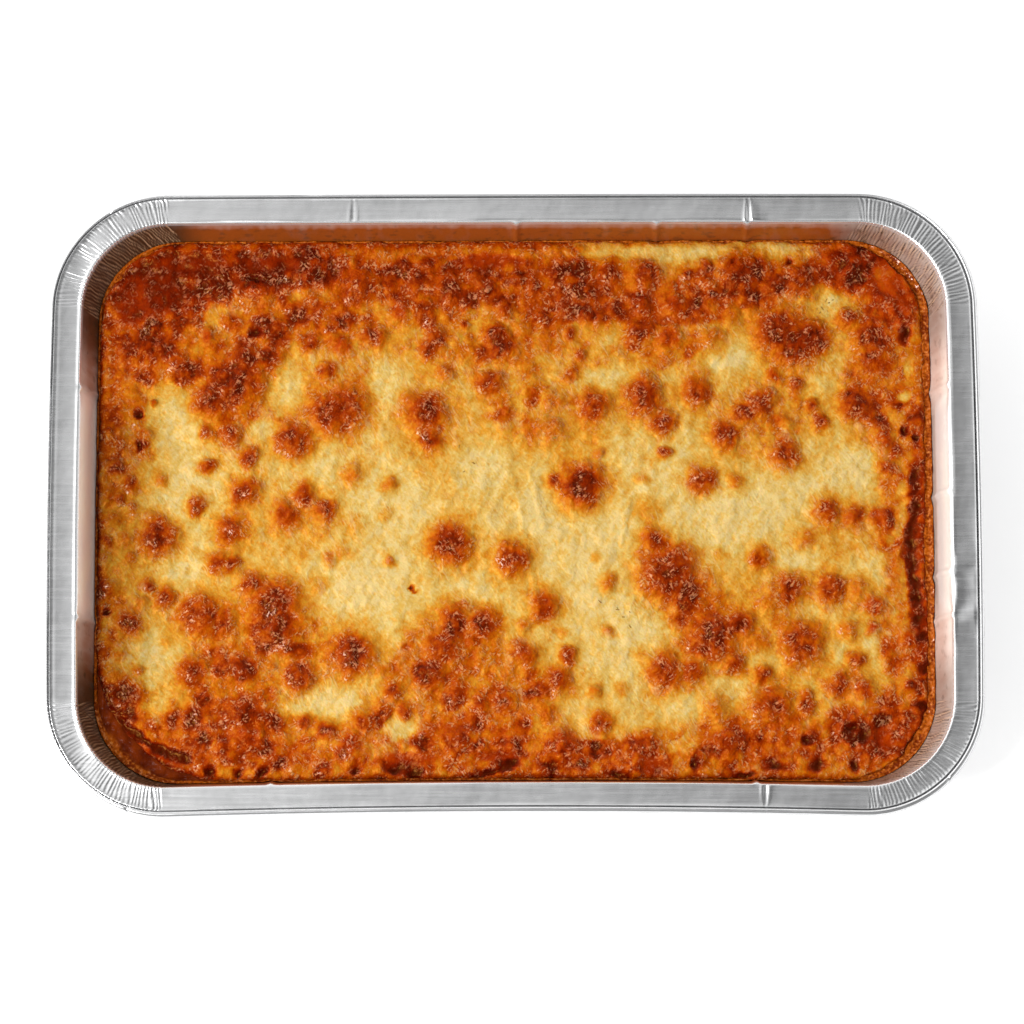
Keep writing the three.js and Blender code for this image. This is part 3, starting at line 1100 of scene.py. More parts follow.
    def paint(
        self, places: Array, rows: Array, stops: Array, u: Array, hoops: list[Hoop]
    ) -> dict[str, Array]:
        """Works out what the two foil finishes read.

        Args:
            places: Rows of X, Y and Z in millimetres.
            rows: The number of each place's hoop.
            stops: The number of each place's step round the tray.
            u: The steps.
            hoops: The hoops.

        Returns:
            Numbers for each place, by name.
        """
        paint = self.stains(*places.T)
        paint["film_and_painted_reflection"] *= np.array([not hoop.wave for hoop in hoops])[rows]
        slants = [hoop.slant * (hoop.z < self.form.flat - 0.6) for hoop in hoops]
        waves = np.stack([self.pleat_wave(u, slant) * (slant > 0) for slant in slants])[rows, stops]
        # Painted highlights on the pleats' crests and painted shade in their hollows and in the bead's
        # creases.
        paint["fold"] = eased(waves, 0.1, 0.8)
        paint["painted_shade"] += 0.6 * eased(waves, -0.1, -0.7)
        return paint | {"crease_shade": np.array([hoop.crease_shade for hoop in hoops])[rows]}

    def build(self) -> bpy.types.Object:
        """Makes the tray: a skin of hoops that is given its gauge outward.

        Returns:
            The tray.
        """
        u, hoops = self.stations(), self.hoops()
        bm = facing_out(loft([self.ring(hoop, u) for hoop in hoops], True, False))
        floor = max(bm.faces, key=lambda face: len(face.verts))
        if floor.normal.z < 0:
            bmesh.ops.reverse_faces(bm, faces=bm.faces)
        rows, stops = taken(bm, "hoop"), taken(bm, "station")
        paint = self.paint(points_of(bm) / MM, rows, stops, u, hoops)
        piece = new_piece("tray_foil", bm, self.inside.material(), paint)
        piece.data.materials.append(self.outside.material())
        wall = piece.modifiers.new("foil_gauge", "SOLIDIFY")
        wall.thickness = self.foil * MM
        wall.offset = -1.0
        wall.material_offset = 1
        stand_for(piece, "foil_tray")
        return piece


# ---------------------------------------------------------------- the browned cheese


class Roast(Enum):
    """How far a patch of cheese has browned: peak and red tinge."""

    FAINT = (0.42, 0.1)
    AMBER = (0.58, 0.2)
    RED = (0.70, 0.9)
    BROWN = (0.86, 0.3)
    DARK = (0.96, 0.5)
    CHAR = (1.08, 0.5)


@dataclass(frozen=True)
class LayoutSheet:
    """Where the patches are laid out: sheet places run from the upper left corner."""

    middle: tuple[float, float] = (514.4, 509.0)
    pitch: tuple[float, float] = (0.3387, 0.345)

    def place(self, x: float, y: float) -> tuple[float, float]:
        """Millimetres of a place on the sheet."""
        return (x - self.middle[0]) * self.pitch[0], (self.middle[1] - y) * self.pitch[1]


# Patches of each roast, as places and radii on the layout sheet.
PATCHES: dict[Roast, tuple[tuple[float, float, float], ...]] = {
    Roast.FAINT: (
        (557, 368, 7), (538, 383, 6), (462, 400, 6), (505, 412, 8), (459, 445, 7), (409, 453, 4),
        (386, 515, 6), (355, 524, 10), (321, 533, 8), (343, 553, 9), (319, 583, 8), (596, 558, 5),
        (649, 511, 12), (702, 373, 7), (643, 481, 6), (721, 554, 6), (830, 550, 8), (595, 438, 5),
        (560, 632, 6), (640, 655, 7), (620, 690, 6), (168, 640, 7), (150, 560, 6), (180, 700, 8),
    ),
    Roast.AMBER: (
        (352, 474, 12), (390, 485, 8), (328, 373, 14), (606, 583, 9), (595, 691, 8), (606, 630, 6),
        (753, 312, 9), (733, 318, 12), (714, 338, 14), (808, 539, 10), (212, 725, 13), (595, 409, 6),
        (552, 431, 16), (555, 402, 14), (712, 285, 10), (524, 327, 10), (523, 626, 8), (445, 372, 8),
        (714, 709, 17), (757, 643, 12), (770, 600, 14), (160, 480, 8), (330, 560, 7), (786, 424, 10),
        (540, 705, 9), (600, 452, 6), (855, 590, 14), (845, 630, 12), (736, 483, 9), (390, 560, 6),
        (114, 520, 10), (128, 560, 9), (112, 585, 9), (142, 602, 8), (122, 655, 9), (112, 690, 10),
        (150, 520, 8), (124, 540, 7), (128, 390, 12), (146, 432, 7), (134, 508, 8), (140, 668, 7),
    ),
    Roast.RED: (
        (205, 335, 9), (341, 345, 14), (673, 338, 17), (676, 304, 14), (776, 378, 9), (889, 287, 20),
        (855, 264, 15), (907, 316, 12), (159, 283, 22), (305, 266, 16), (150, 310, 16), (255, 285, 20),
        (872, 606, 12), (872, 630, 9), (880, 520, 14), (860, 690, 16), (400, 310, 14), (640, 300, 13),
        (250, 735, 18), (560, 745, 20), (350, 745, 16), (640, 765, 14), (905, 640, 12), (885, 440, 14),
    ),
    Roast.BROWN: (
        (154, 326, 9), (174, 332, 8), (126, 353, 9), (137, 376, 7), (176, 362, 14), (231, 436, 12),
        (207, 433, 7), (310, 345, 9), (331, 412, 26), (347, 407, 20), (293, 440, 20), (250, 457, 12),
        (209, 467, 10), (241, 492, 12), (305, 493, 10), (361, 287, 18), (417, 280, 8), (476, 278, 9),
        (517, 280, 8), (424, 311, 12), (373, 335, 15), (436, 337, 14), (428, 349, 12), (466, 325, 6),
        (507, 307, 10), (545, 319, 9), (571, 333, 7), (581, 355, 6), (490, 383, 15), (553, 481, 8),
        (698, 393, 16), (664, 423, 14), (666, 454, 7), (747, 414, 14), (762, 405, 16), (726, 436, 16),
        (786, 454, 17), (798, 385, 9), (814, 407, 8), (821, 424, 9), (850, 321, 14), (872, 335, 18),
        (877, 359, 20), (872, 416, 10), (898, 452, 10), (889, 469, 10), (702, 481, 15), (647, 276, 18),
        (612, 271, 12), (802, 280, 22), (643, 331, 17), (642, 304, 12), (118, 466, 10), (130, 484, 10),
        (120, 498, 7), (197, 505, 12), (248, 490, 14), (307, 497, 11), (325, 510, 13), (288, 516, 15),
        (232, 531, 17), (218, 563, 12), (234, 565, 9), (165, 597, 13), (149, 583, 7), (201, 614, 23),
        (224, 622, 14), (252, 583, 12), (195, 672, 17), (224, 668, 12), (302, 676, 16), (305, 721, 8),
        (327, 729, 10), (228, 747, 12), (514, 559, 19), (455, 618, 15), (482, 624, 15), (444, 648, 20),
        (458, 692, 12), (503, 700, 16), (481, 703, 12), (545, 607, 17), (524, 653, 15), (567, 655, 11),
        (560, 679, 14), (394, 692, 11), (405, 709, 9), (364, 720, 12), (458, 739, 16), (477, 746, 10),
        (512, 746, 12), (599, 722, 13), (653, 542, 14), (758, 559, 12), (827, 513, 15), (856, 516, 12),
        (790, 592, 16), (830, 589, 15), (799, 644, 24), (664, 672, 20), (692, 672, 14), (769, 705, 20),
        (804, 703, 12), (836, 685, 14), (760, 676, 10), (644, 742, 14), (725, 742, 18), (694, 759, 10),
        (140, 445, 7), (136, 412, 6), (109, 431, 4), (108, 606, 4), (116, 685, 5), (155, 404, 4),
        (595, 407, 17), (118, 468, 12), (126, 622, 12), (855, 661, 10), (732, 661, 10), (108, 540, 6),
        (542, 687, 8), (564, 307, 10), (590, 290, 9),
    ),
    Roast.DARK: (
        (262, 326, 15), (279, 326, 12), (235, 381, 30), (245, 359, 18), (267, 355, 14), (210, 400, 20),
        (262, 269, 18), (128, 312, 14), (186, 273, 10), (284, 300, 8), (450, 285, 13), (486, 288, 13),
        (559, 277, 9), (535, 288, 8), (593, 316, 12), (497, 335, 14), (505, 348, 14), (426, 412, 24),
        (430, 441, 12), (617, 307, 10), (697, 295, 7), (714, 295, 9), (710, 264, 7), (690, 275, 6),
        (736, 262, 7), (745, 275, 26), (762, 266, 12), (776, 285, 14), (779, 331, 26), (797, 345, 26),
        (814, 338, 18), (645, 397, 22), (858, 405, 18), (159, 537, 20), (276, 606, 30), (280, 630, 22),
        (293, 648, 10), (351, 653, 25), (244, 668, 18), (248, 713, 22), (450, 544, 23), (431, 674, 16),
        (669, 574, 32), (686, 598, 17), (712, 635, 26), (738, 626, 16), (849, 729, 12), (862, 733, 10),
        (806, 737, 10), (262, 751, 7), (210, 767, 10), (264, 770, 9), (907, 431, 7), (134, 624, 12),
        (401, 764, 9), (580, 762, 9), (505, 763, 12), (905, 685, 8), (560, 270, 7), (424, 262, 8),
    ),
    Roast.CHAR: ((581, 485, 24),),
}

# Broad warm zones on the layout sheet: x, y, half widths, how toasted and how red.
ZONES: tuple[tuple[float, ...], ...] = (
    (165, 280, 85, 46, 1.0, 0.9), (275, 268, 120, 32, 0.95, 0.7), (300, 318, 100, 36, 0.68, 0.4),
    (430, 282, 100, 44, 0.84, 0.4), (570, 286, 90, 44, 0.84, 0.4), (690, 298, 80, 42, 0.76, 0.5),
    (765, 282, 60, 30, 0.74, 0.4), (500, 345, 130, 40, 0.60, 0.2), (140, 345, 60, 50, 0.80, 0.5),
    (868, 268, 62, 34, 0.92, 1.0), (893, 300, 34, 60, 0.80, 1.0), (880, 390, 44, 60, 0.66, 0.5),
    (919, 560, 15, 190, 0.80, 0.8), (880, 735, 80, 46, 0.84, 0.7), (765, 745, 100, 40, 0.76, 0.5),
    (590, 758, 120, 34, 0.76, 0.6), (470, 738, 90, 50, 0.74, 0.5), (330, 748, 110, 36, 0.66, 0.5),
    (215, 738, 80, 42, 0.76, 0.5), (240, 655, 110, 56, 0.62, 0.2), (440, 665, 66, 56, 0.70, 0.2),
    (232, 380, 74, 66, 0.66, 0.3), (340, 395, 60, 60, 0.52, 0.3), (108, 430, 26, 90, 0.74, 0.3),
    (106, 600, 22, 100, 0.62, 0.3), (120, 520, 32, 170, 0.46, 0.1), (894, 640, 18, 90, 0.58, 0.5),
    (892, 515, 17, 100, 0.56, 0.5), (128, 420, 24, 60, 0.60, 0.2), (386, 716, 34, 26, 0.66, 0.3),
    (120, 706, 34, 34, 0.96, 0.6), (670, 352, 54, 20, 0.62, 0.3), (470, 636, 46, 36, 0.70, 0.2),
    (700, 606, 40, 34, 0.70, 0.2), (232, 715, 50, 30, 0.82, 0.4), (190, 266, 60, 26, 1.0, 0.8),
    (545, 312, 30, 20, 0.84, 0.4), (650, 312, 34, 20, 0.84, 0.5), (270, 520, 90, 44, 0.38, 0.1),
    (780, 625, 90, 80, 0.42, 0.2), (765, 420, 75, 50, 0.50, 0.2), (690, 670, 65, 50, 0.50, 0.1),
    (545, 405, 80, 55, 0.52, 0.0), (140, 450, 34, 80, 0.40, 0.1), (845, 560, 60, 60, 0.40, 0.1),
    (460, 460, 60, 60, 0.36, 0.0), (480, 690, 90, 40, 0.66, 0.2),
)

# Zones that stay pale, in the same terms.
PALE_ZONES: tuple[tuple[float, ...], ...] = (
    (820, 303, 42, 16), (834, 328, 7, 22), (600, 560, 44, 80), (480, 470, 36, 40), (185, 500, 44, 56),
    (370, 600, 46, 56), (635, 650, 36, 56), (700, 530, 60, 36), (165, 655, 40, 36), (610, 378, 34, 12),
    (725, 362, 30, 18), (912, 368, 9, 12), (905, 395, 8, 8), (400, 510, 56, 46), (668, 252, 90, 7),
    (180, 420, 34, 36), (284, 388, 24, 28), (262, 430, 20, 12), (858, 575, 30, 24), (808, 612, 20, 12),
    (806, 448, 16, 12), (320, 455, 34, 24), (690, 706, 40, 16), (760, 505, 60, 30), (540, 520, 30, 60),
    (385, 385, 20, 30), (850, 470, 26, 24), (836, 640, 14, 34), (330, 700, 34, 20), (405, 725, 20, 14),
    (800, 560, 24, 16), (765, 660, 24, 14), (720, 690, 26, 16), (590, 728, 16, 10),
)

# Wet dark pits, mostly along the margin, in the same terms: x, y, half widths. Their darkness
# is dark sauce with painted shade of the hollows.
PITS: tuple[tuple[float, ...], ...] = (
    (213, 768, 6, 8), (241, 771, 6, 4), (264, 768, 8, 5), (357, 768, 6, 4), (395, 766, 12, 7),
    (414, 771, 12, 6), (490, 769, 15, 4), (509, 762, 12, 5), (615, 772, 9, 5), (693, 764, 6, 9),
    (742, 773, 14, 3), (772, 763, 13, 7), (814, 763, 8, 10), (805, 738, 6, 8), (851, 766, 7, 7),
    (862, 735, 8, 9), (848, 729, 8, 6), (917, 508, 7, 6), (911, 530, 6, 6), (908, 546, 7, 12),
    (912, 566, 6, 9), (915, 583, 5, 6), (915, 600, 8, 8), (918, 620, 9, 9), (921, 637, 7, 8),
    (923, 668, 7, 8), (919, 706, 9, 6), (908, 333, 7, 11), (916, 439, 4, 5), (916, 477, 7, 7),
    (142, 734, 9, 6), (163, 748, 9, 7), (253, 330, 7, 7), (792, 262, 5, 5), (905, 432, 5, 6),
    (255, 276, 9, 5), (139, 445, 4, 7), (414, 589, 3, 3), (108, 611, 4, 5), (138, 414, 3, 5),
)

# Wet dark creases on the layout sheet: half width, then the points they run through. Their
# darkness is scorch and sauce with painted shade in the gaps at the cheese's edge.
CREASES = (
    (5.0, ((109, 706), (116, 716), (133, 727), (148, 739), (165, 747), (188, 757))),
    (3.2, ((470, 775), (490, 771), (512, 763))),
    (4.6, ((916, 508), (911, 528), (909, 548), (911, 572), (915, 592))),
)

# Smooth pools of oily sauce, in the same terms, and how dark.
POOLS: tuple[tuple[float, ...], ...] = (
    (893, 278, 20, 22, 0.6), (906, 304, 9, 15, 0.76), (152, 288, 36, 30, 0.94),
    (128, 306, 16, 24, 0.84), (266, 262, 34, 12, 0.92), (190, 262, 44, 12, 0.92),
    (490, 258, 40, 8, 0.8), (150, 755, 40, 16, 0.7), (880, 736, 10, 16, 0.8), (408, 757, 30, 8, 0.8),
    (500, 755, 22, 6, 0.8), (650, 764, 14, 12, 0.78), (912, 560, 8, 60, 0.86),
)


@dataclass(frozen=True)
class Browned:
    """What the oven did at a set of places, one number for each place."""

    toast: Array
    wet: Array
    red: Array
    dome: Array


@dataclass
class Browning:
    """Works out how the cheese has browned and blistered."""

    sheet: LayoutSheet = LayoutSheet()
    bare: float = 0.20
    tallest: float = 2.3
    pool_depth: float = 0.2
    pit_depth: float = 0.7
    pit_toast: float = 1.15

    def at(self, x: Array, y: Array) -> Browned:
        """Adds up zones, bubbles and patches.

        Args:
            x: Places along X, in millimetres.
            y: Places along Y.

        Returns:
            The browning there. Toast runs from about 0, bare cheese, to 1, scorched.
        """
        ragged, broad = Grain(Seed.RAGGED_EDGES), Grain(Seed.BROAD_BROWNING)
        wx = x + 1.3 * ragged.layered(x, y, 9, 2)
        wy = y + 1.3 * ragged.layered(x + 71, y - 33, 9, 2)
        toast = self.bare + 0.10 * broad.layered(x, y, 16, 4) + 0.10 * broad.layered(x + 90, y, 5.5, 2)
        red = np.zeros(x.shape)
        for px, py, rx, ry, level, tinge in ZONES:
            share = self._soft(wx, wy, px, py, rx, ry, 0.35, 1.35)
            toast = toast + (np.maximum(toast, level) - toast) * share
            red = np.maximum(red, tinge * share)
        bubble, share = Cells(Seed.BUBBLES).at(wx, wy, 8.6)
        small, small_share = Cells(Seed.SMALL_BUBBLES).at(wx + 40, wy, 4.8)
        bubbles = eased(bubble, 0.62, 0.12) * (1.6 * share - 0.3)
        bubbles = bubbles + 0.4 * eased(small, 0.55, 0.1) * small_share
        mottled = (bubbles - 0.3) * 0.32 + 0.10 * ragged.layered(wx + 200, wy, 6.5, 2)
        toast = toast + mottled * (0.15 + 0.85 * eased(toast, 0.3, 0.6))
        for px, py, rx, ry in PALE_ZONES:
            pale = self._soft(wx, wy, px, py, rx, ry, 0.4, 1.2)
            toast = toast * (1 - 0.85 * pale) + 0.08 * pale
            red = red * (1 - pale)
        dome = np.zeros(x.shape)
        for roast, patches in PATCHES.items():
            peak, tinge = roast.value
            for px, py, radius in patches:
                core = self._soft(wx, wy, px, py, radius, radius, 0.15, 1.25)
                halo = self._soft(wx, wy, px, py, radius, radius, 0.7, 1.9)
                toast = toast + (np.maximum(toast, 0.3 + 0.3 * peak) - toast) * halo * 0.85
                toast = toast + (np.maximum(toast, peak) - toast) * core**1.4
                red = np.maximum(red, tinge * core)
                rise = min(self.tallest, 0.4 + 0.08 * radius)
                rise = rise * (0.4 if roast is Roast.FAINT else 1)
                dome = np.maximum(dome, rise * core**0.8)
        # A bubble also stands up where the last pale zone meets browned cheese.
        swollen = eased(bubble, 0.62, 0.1) * pale * eased(toast, 0.3, 0.55)
        dome = np.maximum(dome, 1.1 * swollen)
        return self.soaked(x, y, Browned(toast, np.zeros(x.shape), red, dome))

    def soaked(self, x: Array, y: Array, dry: Browned) -> Browned:
        """Adds the pools of sauce and the wet pits to dry browning; the pits' darkness is partly painted
        shade.

        Args:
            x: Places along X, in millimetres.
            y: Places along Y.
            dry: The browning without them.

        Returns:
            The browning with them.
        """
        ragged = Grain(Seed.SOAKED_EDGES)
        toast, wet, red, dome = dry.toast, dry.wet, dry.red, dry.dome
        wx = x + 0.8 * ragged.layered(x, y, 4, 3)
        wy = y + 0.8 * ragged.layered(x + 33, y, 4, 3)
        for px, py, rx, ry, level in POOLS:
            share = self._soft(wx, wy, px, py, rx, ry, 0.5, 1.3)
            blotch = 0.14 * ragged.layered(x + 70, y, 6, 3)
            toast = toast + (level + blotch - toast) * share * 0.8
            wet, red = np.maximum(wet, 0.6 * share), np.maximum(red, share)
            dome = dome - (dome + self.pool_depth) * share * 0.7
        px, py = x + 1.3 * ragged.layered(x, y, 5, 3), y + 1.3 * ragged.layered(x + 33, y, 5, 3)
        shares = [self._soft(px, py, *pit, 0.15, 1.45) for pit in PITS]
        for width, points in CREASES:
            for start, end in zip(points, points[1:]):
                shares.append(0.9 * self._beside(px, py, start, end, width))
        for share in shares:
            toast = toast + (np.maximum(toast, self.pit_toast) - toast) * share
            wet, red = np.maximum(wet, share), np.maximum(red, 0.8 * share)
            dome = dome - (dome + self.pit_depth) * share
        return Browned(toast, wet, red, dome)

    def _beside(
        self, x: Array, y: Array, start: tuple[float, float], end: tuple[float, float], width: float
    ) -> Array:
        """Works out how near places are to a line.

        Args:
            x: Places along X.
            y: Places along Y.
            start: A sheet place where the line starts.
            end: One where it ends.
            width: The line's half width on the sheet.

        Returns:
            1 on the line, easing to 0 beyond its half width.
        """
        away = from_line(x, y, self.sheet.place(*start), self.sheet.place(*end))
        return eased(away / (width * self.sheet.pitch[0]), 1.5, 0.2)

    def _soft(
        self, x: Array, y: Array, px: float, py: float, rx: float, ry: float, full: float, none: float
    ) -> Array:
        """Works out how near places are to the middle of a soft oval.

        Args:
            x: Places along X.
            y: Places along Y.
            px: The middle's sheet place across.
            py: The middle's sheet place down.
            rx: Half the oval's length on the sheet.
            ry: Half its width.
            full: How many half widths out it is still whole.
            none: How many half widths out it has gone.

        Returns:
            1 in the middle, easing to 0.
        """
        cx, cy = self.sheet.place(px, py)
        away = np.hypot((x - cx) / (rx * self.sheet.pitch[0]), (y - cy) / (ry * self.sheet.pitch[1]))
        return eased(away, none, full)


@dataclass(frozen=True)
class CheeseFinish(Finish):
    """Melted cheese, from bare cream through gold to dark brown, with an oily sheen."""

    name: str = "browned_cheese"
    light: float = 0.56
    darkest: float = 1.5
    plain_stops: tuple[tuple[float, Colour], ...] = (
        (0.00, tone(243, 211, 138)),
        (0.12, tone(238, 194, 98)),
        (0.30, tone(231, 159, 45)),
        (0.50, tone(216, 113, 8)),
        (0.72, tone(190, 71, 0)),
        (0.88, tone(154, 40, 0)),
        (1.00, tone(106, 16, 0)),
        (1.50, tone(48, 6, 0)),
    )
    saucy_stops: tuple[tuple[float, Colour], ...] = (
        (0.00, tone(230, 156, 62)),
        (0.34, tone(216, 108, 14)),
        (0.62, tone(194, 60, 1)),
        (0.84, tone(150, 32, 0)),
        (1.00, tone(98, 12, 0)),
        (1.50, tone(46, 5, 0)),
    )
    painted_glint: Colour = tone(244, 178, 126)
    gleam: Colour = tone(252, 226, 160)
    painted_wall_shadow: Colour = (0.0, 0.0, 0.0)
    wrinkle_size: float = 0.37
    wrinkle_turns: tuple[float, float] = (35.0, -50.0)
    strand_size: float = 0.80645
    strand_turn: float = 28.0

    def toned(
        self, graph: Graph, baked: Value, stops: tuple[tuple[float, Colour], ...]
    ) -> bpy.types.NodeSocket:
        """Picks a colour for how far the cheese is baked.

        Args:
            graph: The material's graph.
            baked: How far, from 0 to the darkest stop.
            stops: The colours as they look in the light, by how far they are baked.

        Returns:
            The colour.
        """
        scaled = tuple((at / self.darkest, deeper(colour, self.light)) for at, colour in stops)
        return graph.ramp(baked * (1 / self.darkest), scaled)

    def wrinkles(self, graph: Graph, place: bpy.types.NodeSocket) -> Value:
        """Draws short crisp wrinkles in clusters, each cluster lying one of two ways.

        Args:
            graph: The material's graph.
            place: The place on the piece.

        Returns:
            1 on top of a wrinkle and 0 between them.
        """
        laid = (graph.stretched(place, (1.0, 0.48, 1.0), turn) for turn in self.wrinkle_turns)
        first, second = (
            graph.eased(graph.grain(spot, self.wrinkle_size, 1.0, 0.7), 0.5, 0.62) for spot in laid
        )
        way = graph.eased(graph.grain(place, 2.6), 0.45, 0.55)
        clusters = graph.eased(graph.grain(place, 1.7), 0.43, 0.6)
        return (first * way + second * (1 - way)) * clusters

    def strands(self, graph: Graph, place: bpy.types.NodeSocket) -> Value:
        """Draws fine pulled strands, in some places only.

        Args:
            graph: The material's graph.
            place: The place on the piece.

        Returns:
            1 on top of a strand and 0 between them.
        """
        drawn = graph.stretched(place, (1.0, 0.34, 1.0), self.strand_turn)
        fine = graph.grain(drawn, self.strand_size, 2.0, 1.2)
        return graph.eased(fine, 0.48, 0.7) * graph.eased(graph.grain(place, 7.0, 1.0), 0.44, 0.58)

    def inputs(self, graph: Graph) -> dict[str, Any]:
        """Dresses the cheese by how toasted, wet and saucy it is, with painted glints and a painted wall
        shadow.

        Args:
            graph: The material's graph.

        Returns:
            Values for the surface's sockets.
        """
        place = object_place(graph)
        toast, wet, red = (graph.attribute(name) for name in ("toast", "wet", "red"))
        brown, golden = graph.eased(toast, 0.28, 0.7), graph.eased(toast, 0.22, 0.45)
        dry = 1 - wet
        strokes = self.wrinkles(graph, place) * (golden * 0.6 + 0.4) * dry
        pull = self.strands(graph, place) * (1 - brown)
        mottle = graph.grain(place, 1.7) - 0.5
        lumps = graph.grain(graph.stretched(place, (1.0, 0.6, 1.0), -35.0), 0.9) - 0.5
        crumb = graph.grain(graph.stretched(place, (1.0, 0.6, 1.0), 40.0), 0.42, 1.0) - 0.5

        baked = toast + mottle * (brown * 0.2 + 0.26) * (dry * 0.7 + 0.3) - lumps * dry * 0.34
        # Lighter along the wrinkles: painted highlights.
        baked = baked - strokes * (brown * 0.22) - crumb * dry * (0.34 - brown * 0.18)
        sauce = graph.eased(red + mottle * 0.5, 0.15, 0.95)
        plain, saucy = (self.toned(graph, baked, stops) for stops in (self.plain_stops, self.saucy_stops))
        colour = graph.mixed(sauce * 0.85, plain, saucy)
        # Painted glints on the wrinkles, held back where the cheese is darkest.
        light = strokes * (golden * 0.2 + brown * 0.1 + 0.14)
        light = light * (1 - graph.eased(baked, 0.95, 1.2) * 0.7)
        colour = graph.mixed(light, colour, deeper(self.painted_glint, self.light))
        # Painted highlights along the pulled strands.
        colour = graph.mixed(pull * 0.34, colour, deeper(self.gleam, self.light))
        # Painted shadow of the left wall along the cheese's left margin.
        colour = graph.mixed(graph.attribute("painted_wall_shadow") * 0.45, colour, self.painted_wall_shadow)

        soft = graph.grain(place, 2.4) * (brown * 0.6 + 0.35) + lumps * (brown * 0.4 + 0.45)
        base = graph.relief((soft + crumb * 0.16) * (dry * 0.8 + 0.2))
        fine = strokes * (golden * 0.06 + brown * 0.04 + 0.04) + pull * 0.05
        return {
            "Base Color": colour,
            "Roughness": graph.grain(place, 1.3) * 0.25 + 0.2,
            "Specular IOR Level": 0.2,
            "Specular Tint": (1.0, 0.45, 0.08, 1.0),
            "Coat Weight": graph.eased(strokes, 0.5, 1.0) * (brown * 0.15 + 0.2),
            "Coat Roughness": 0.26,
            "Subsurface Weight": 0.35,
            "Subsurface Radius": (1.0, 0.35, 0.1),
            "Subsurface Scale": 0.0012,
            "Normal": graph.relief(fine, base),
        }


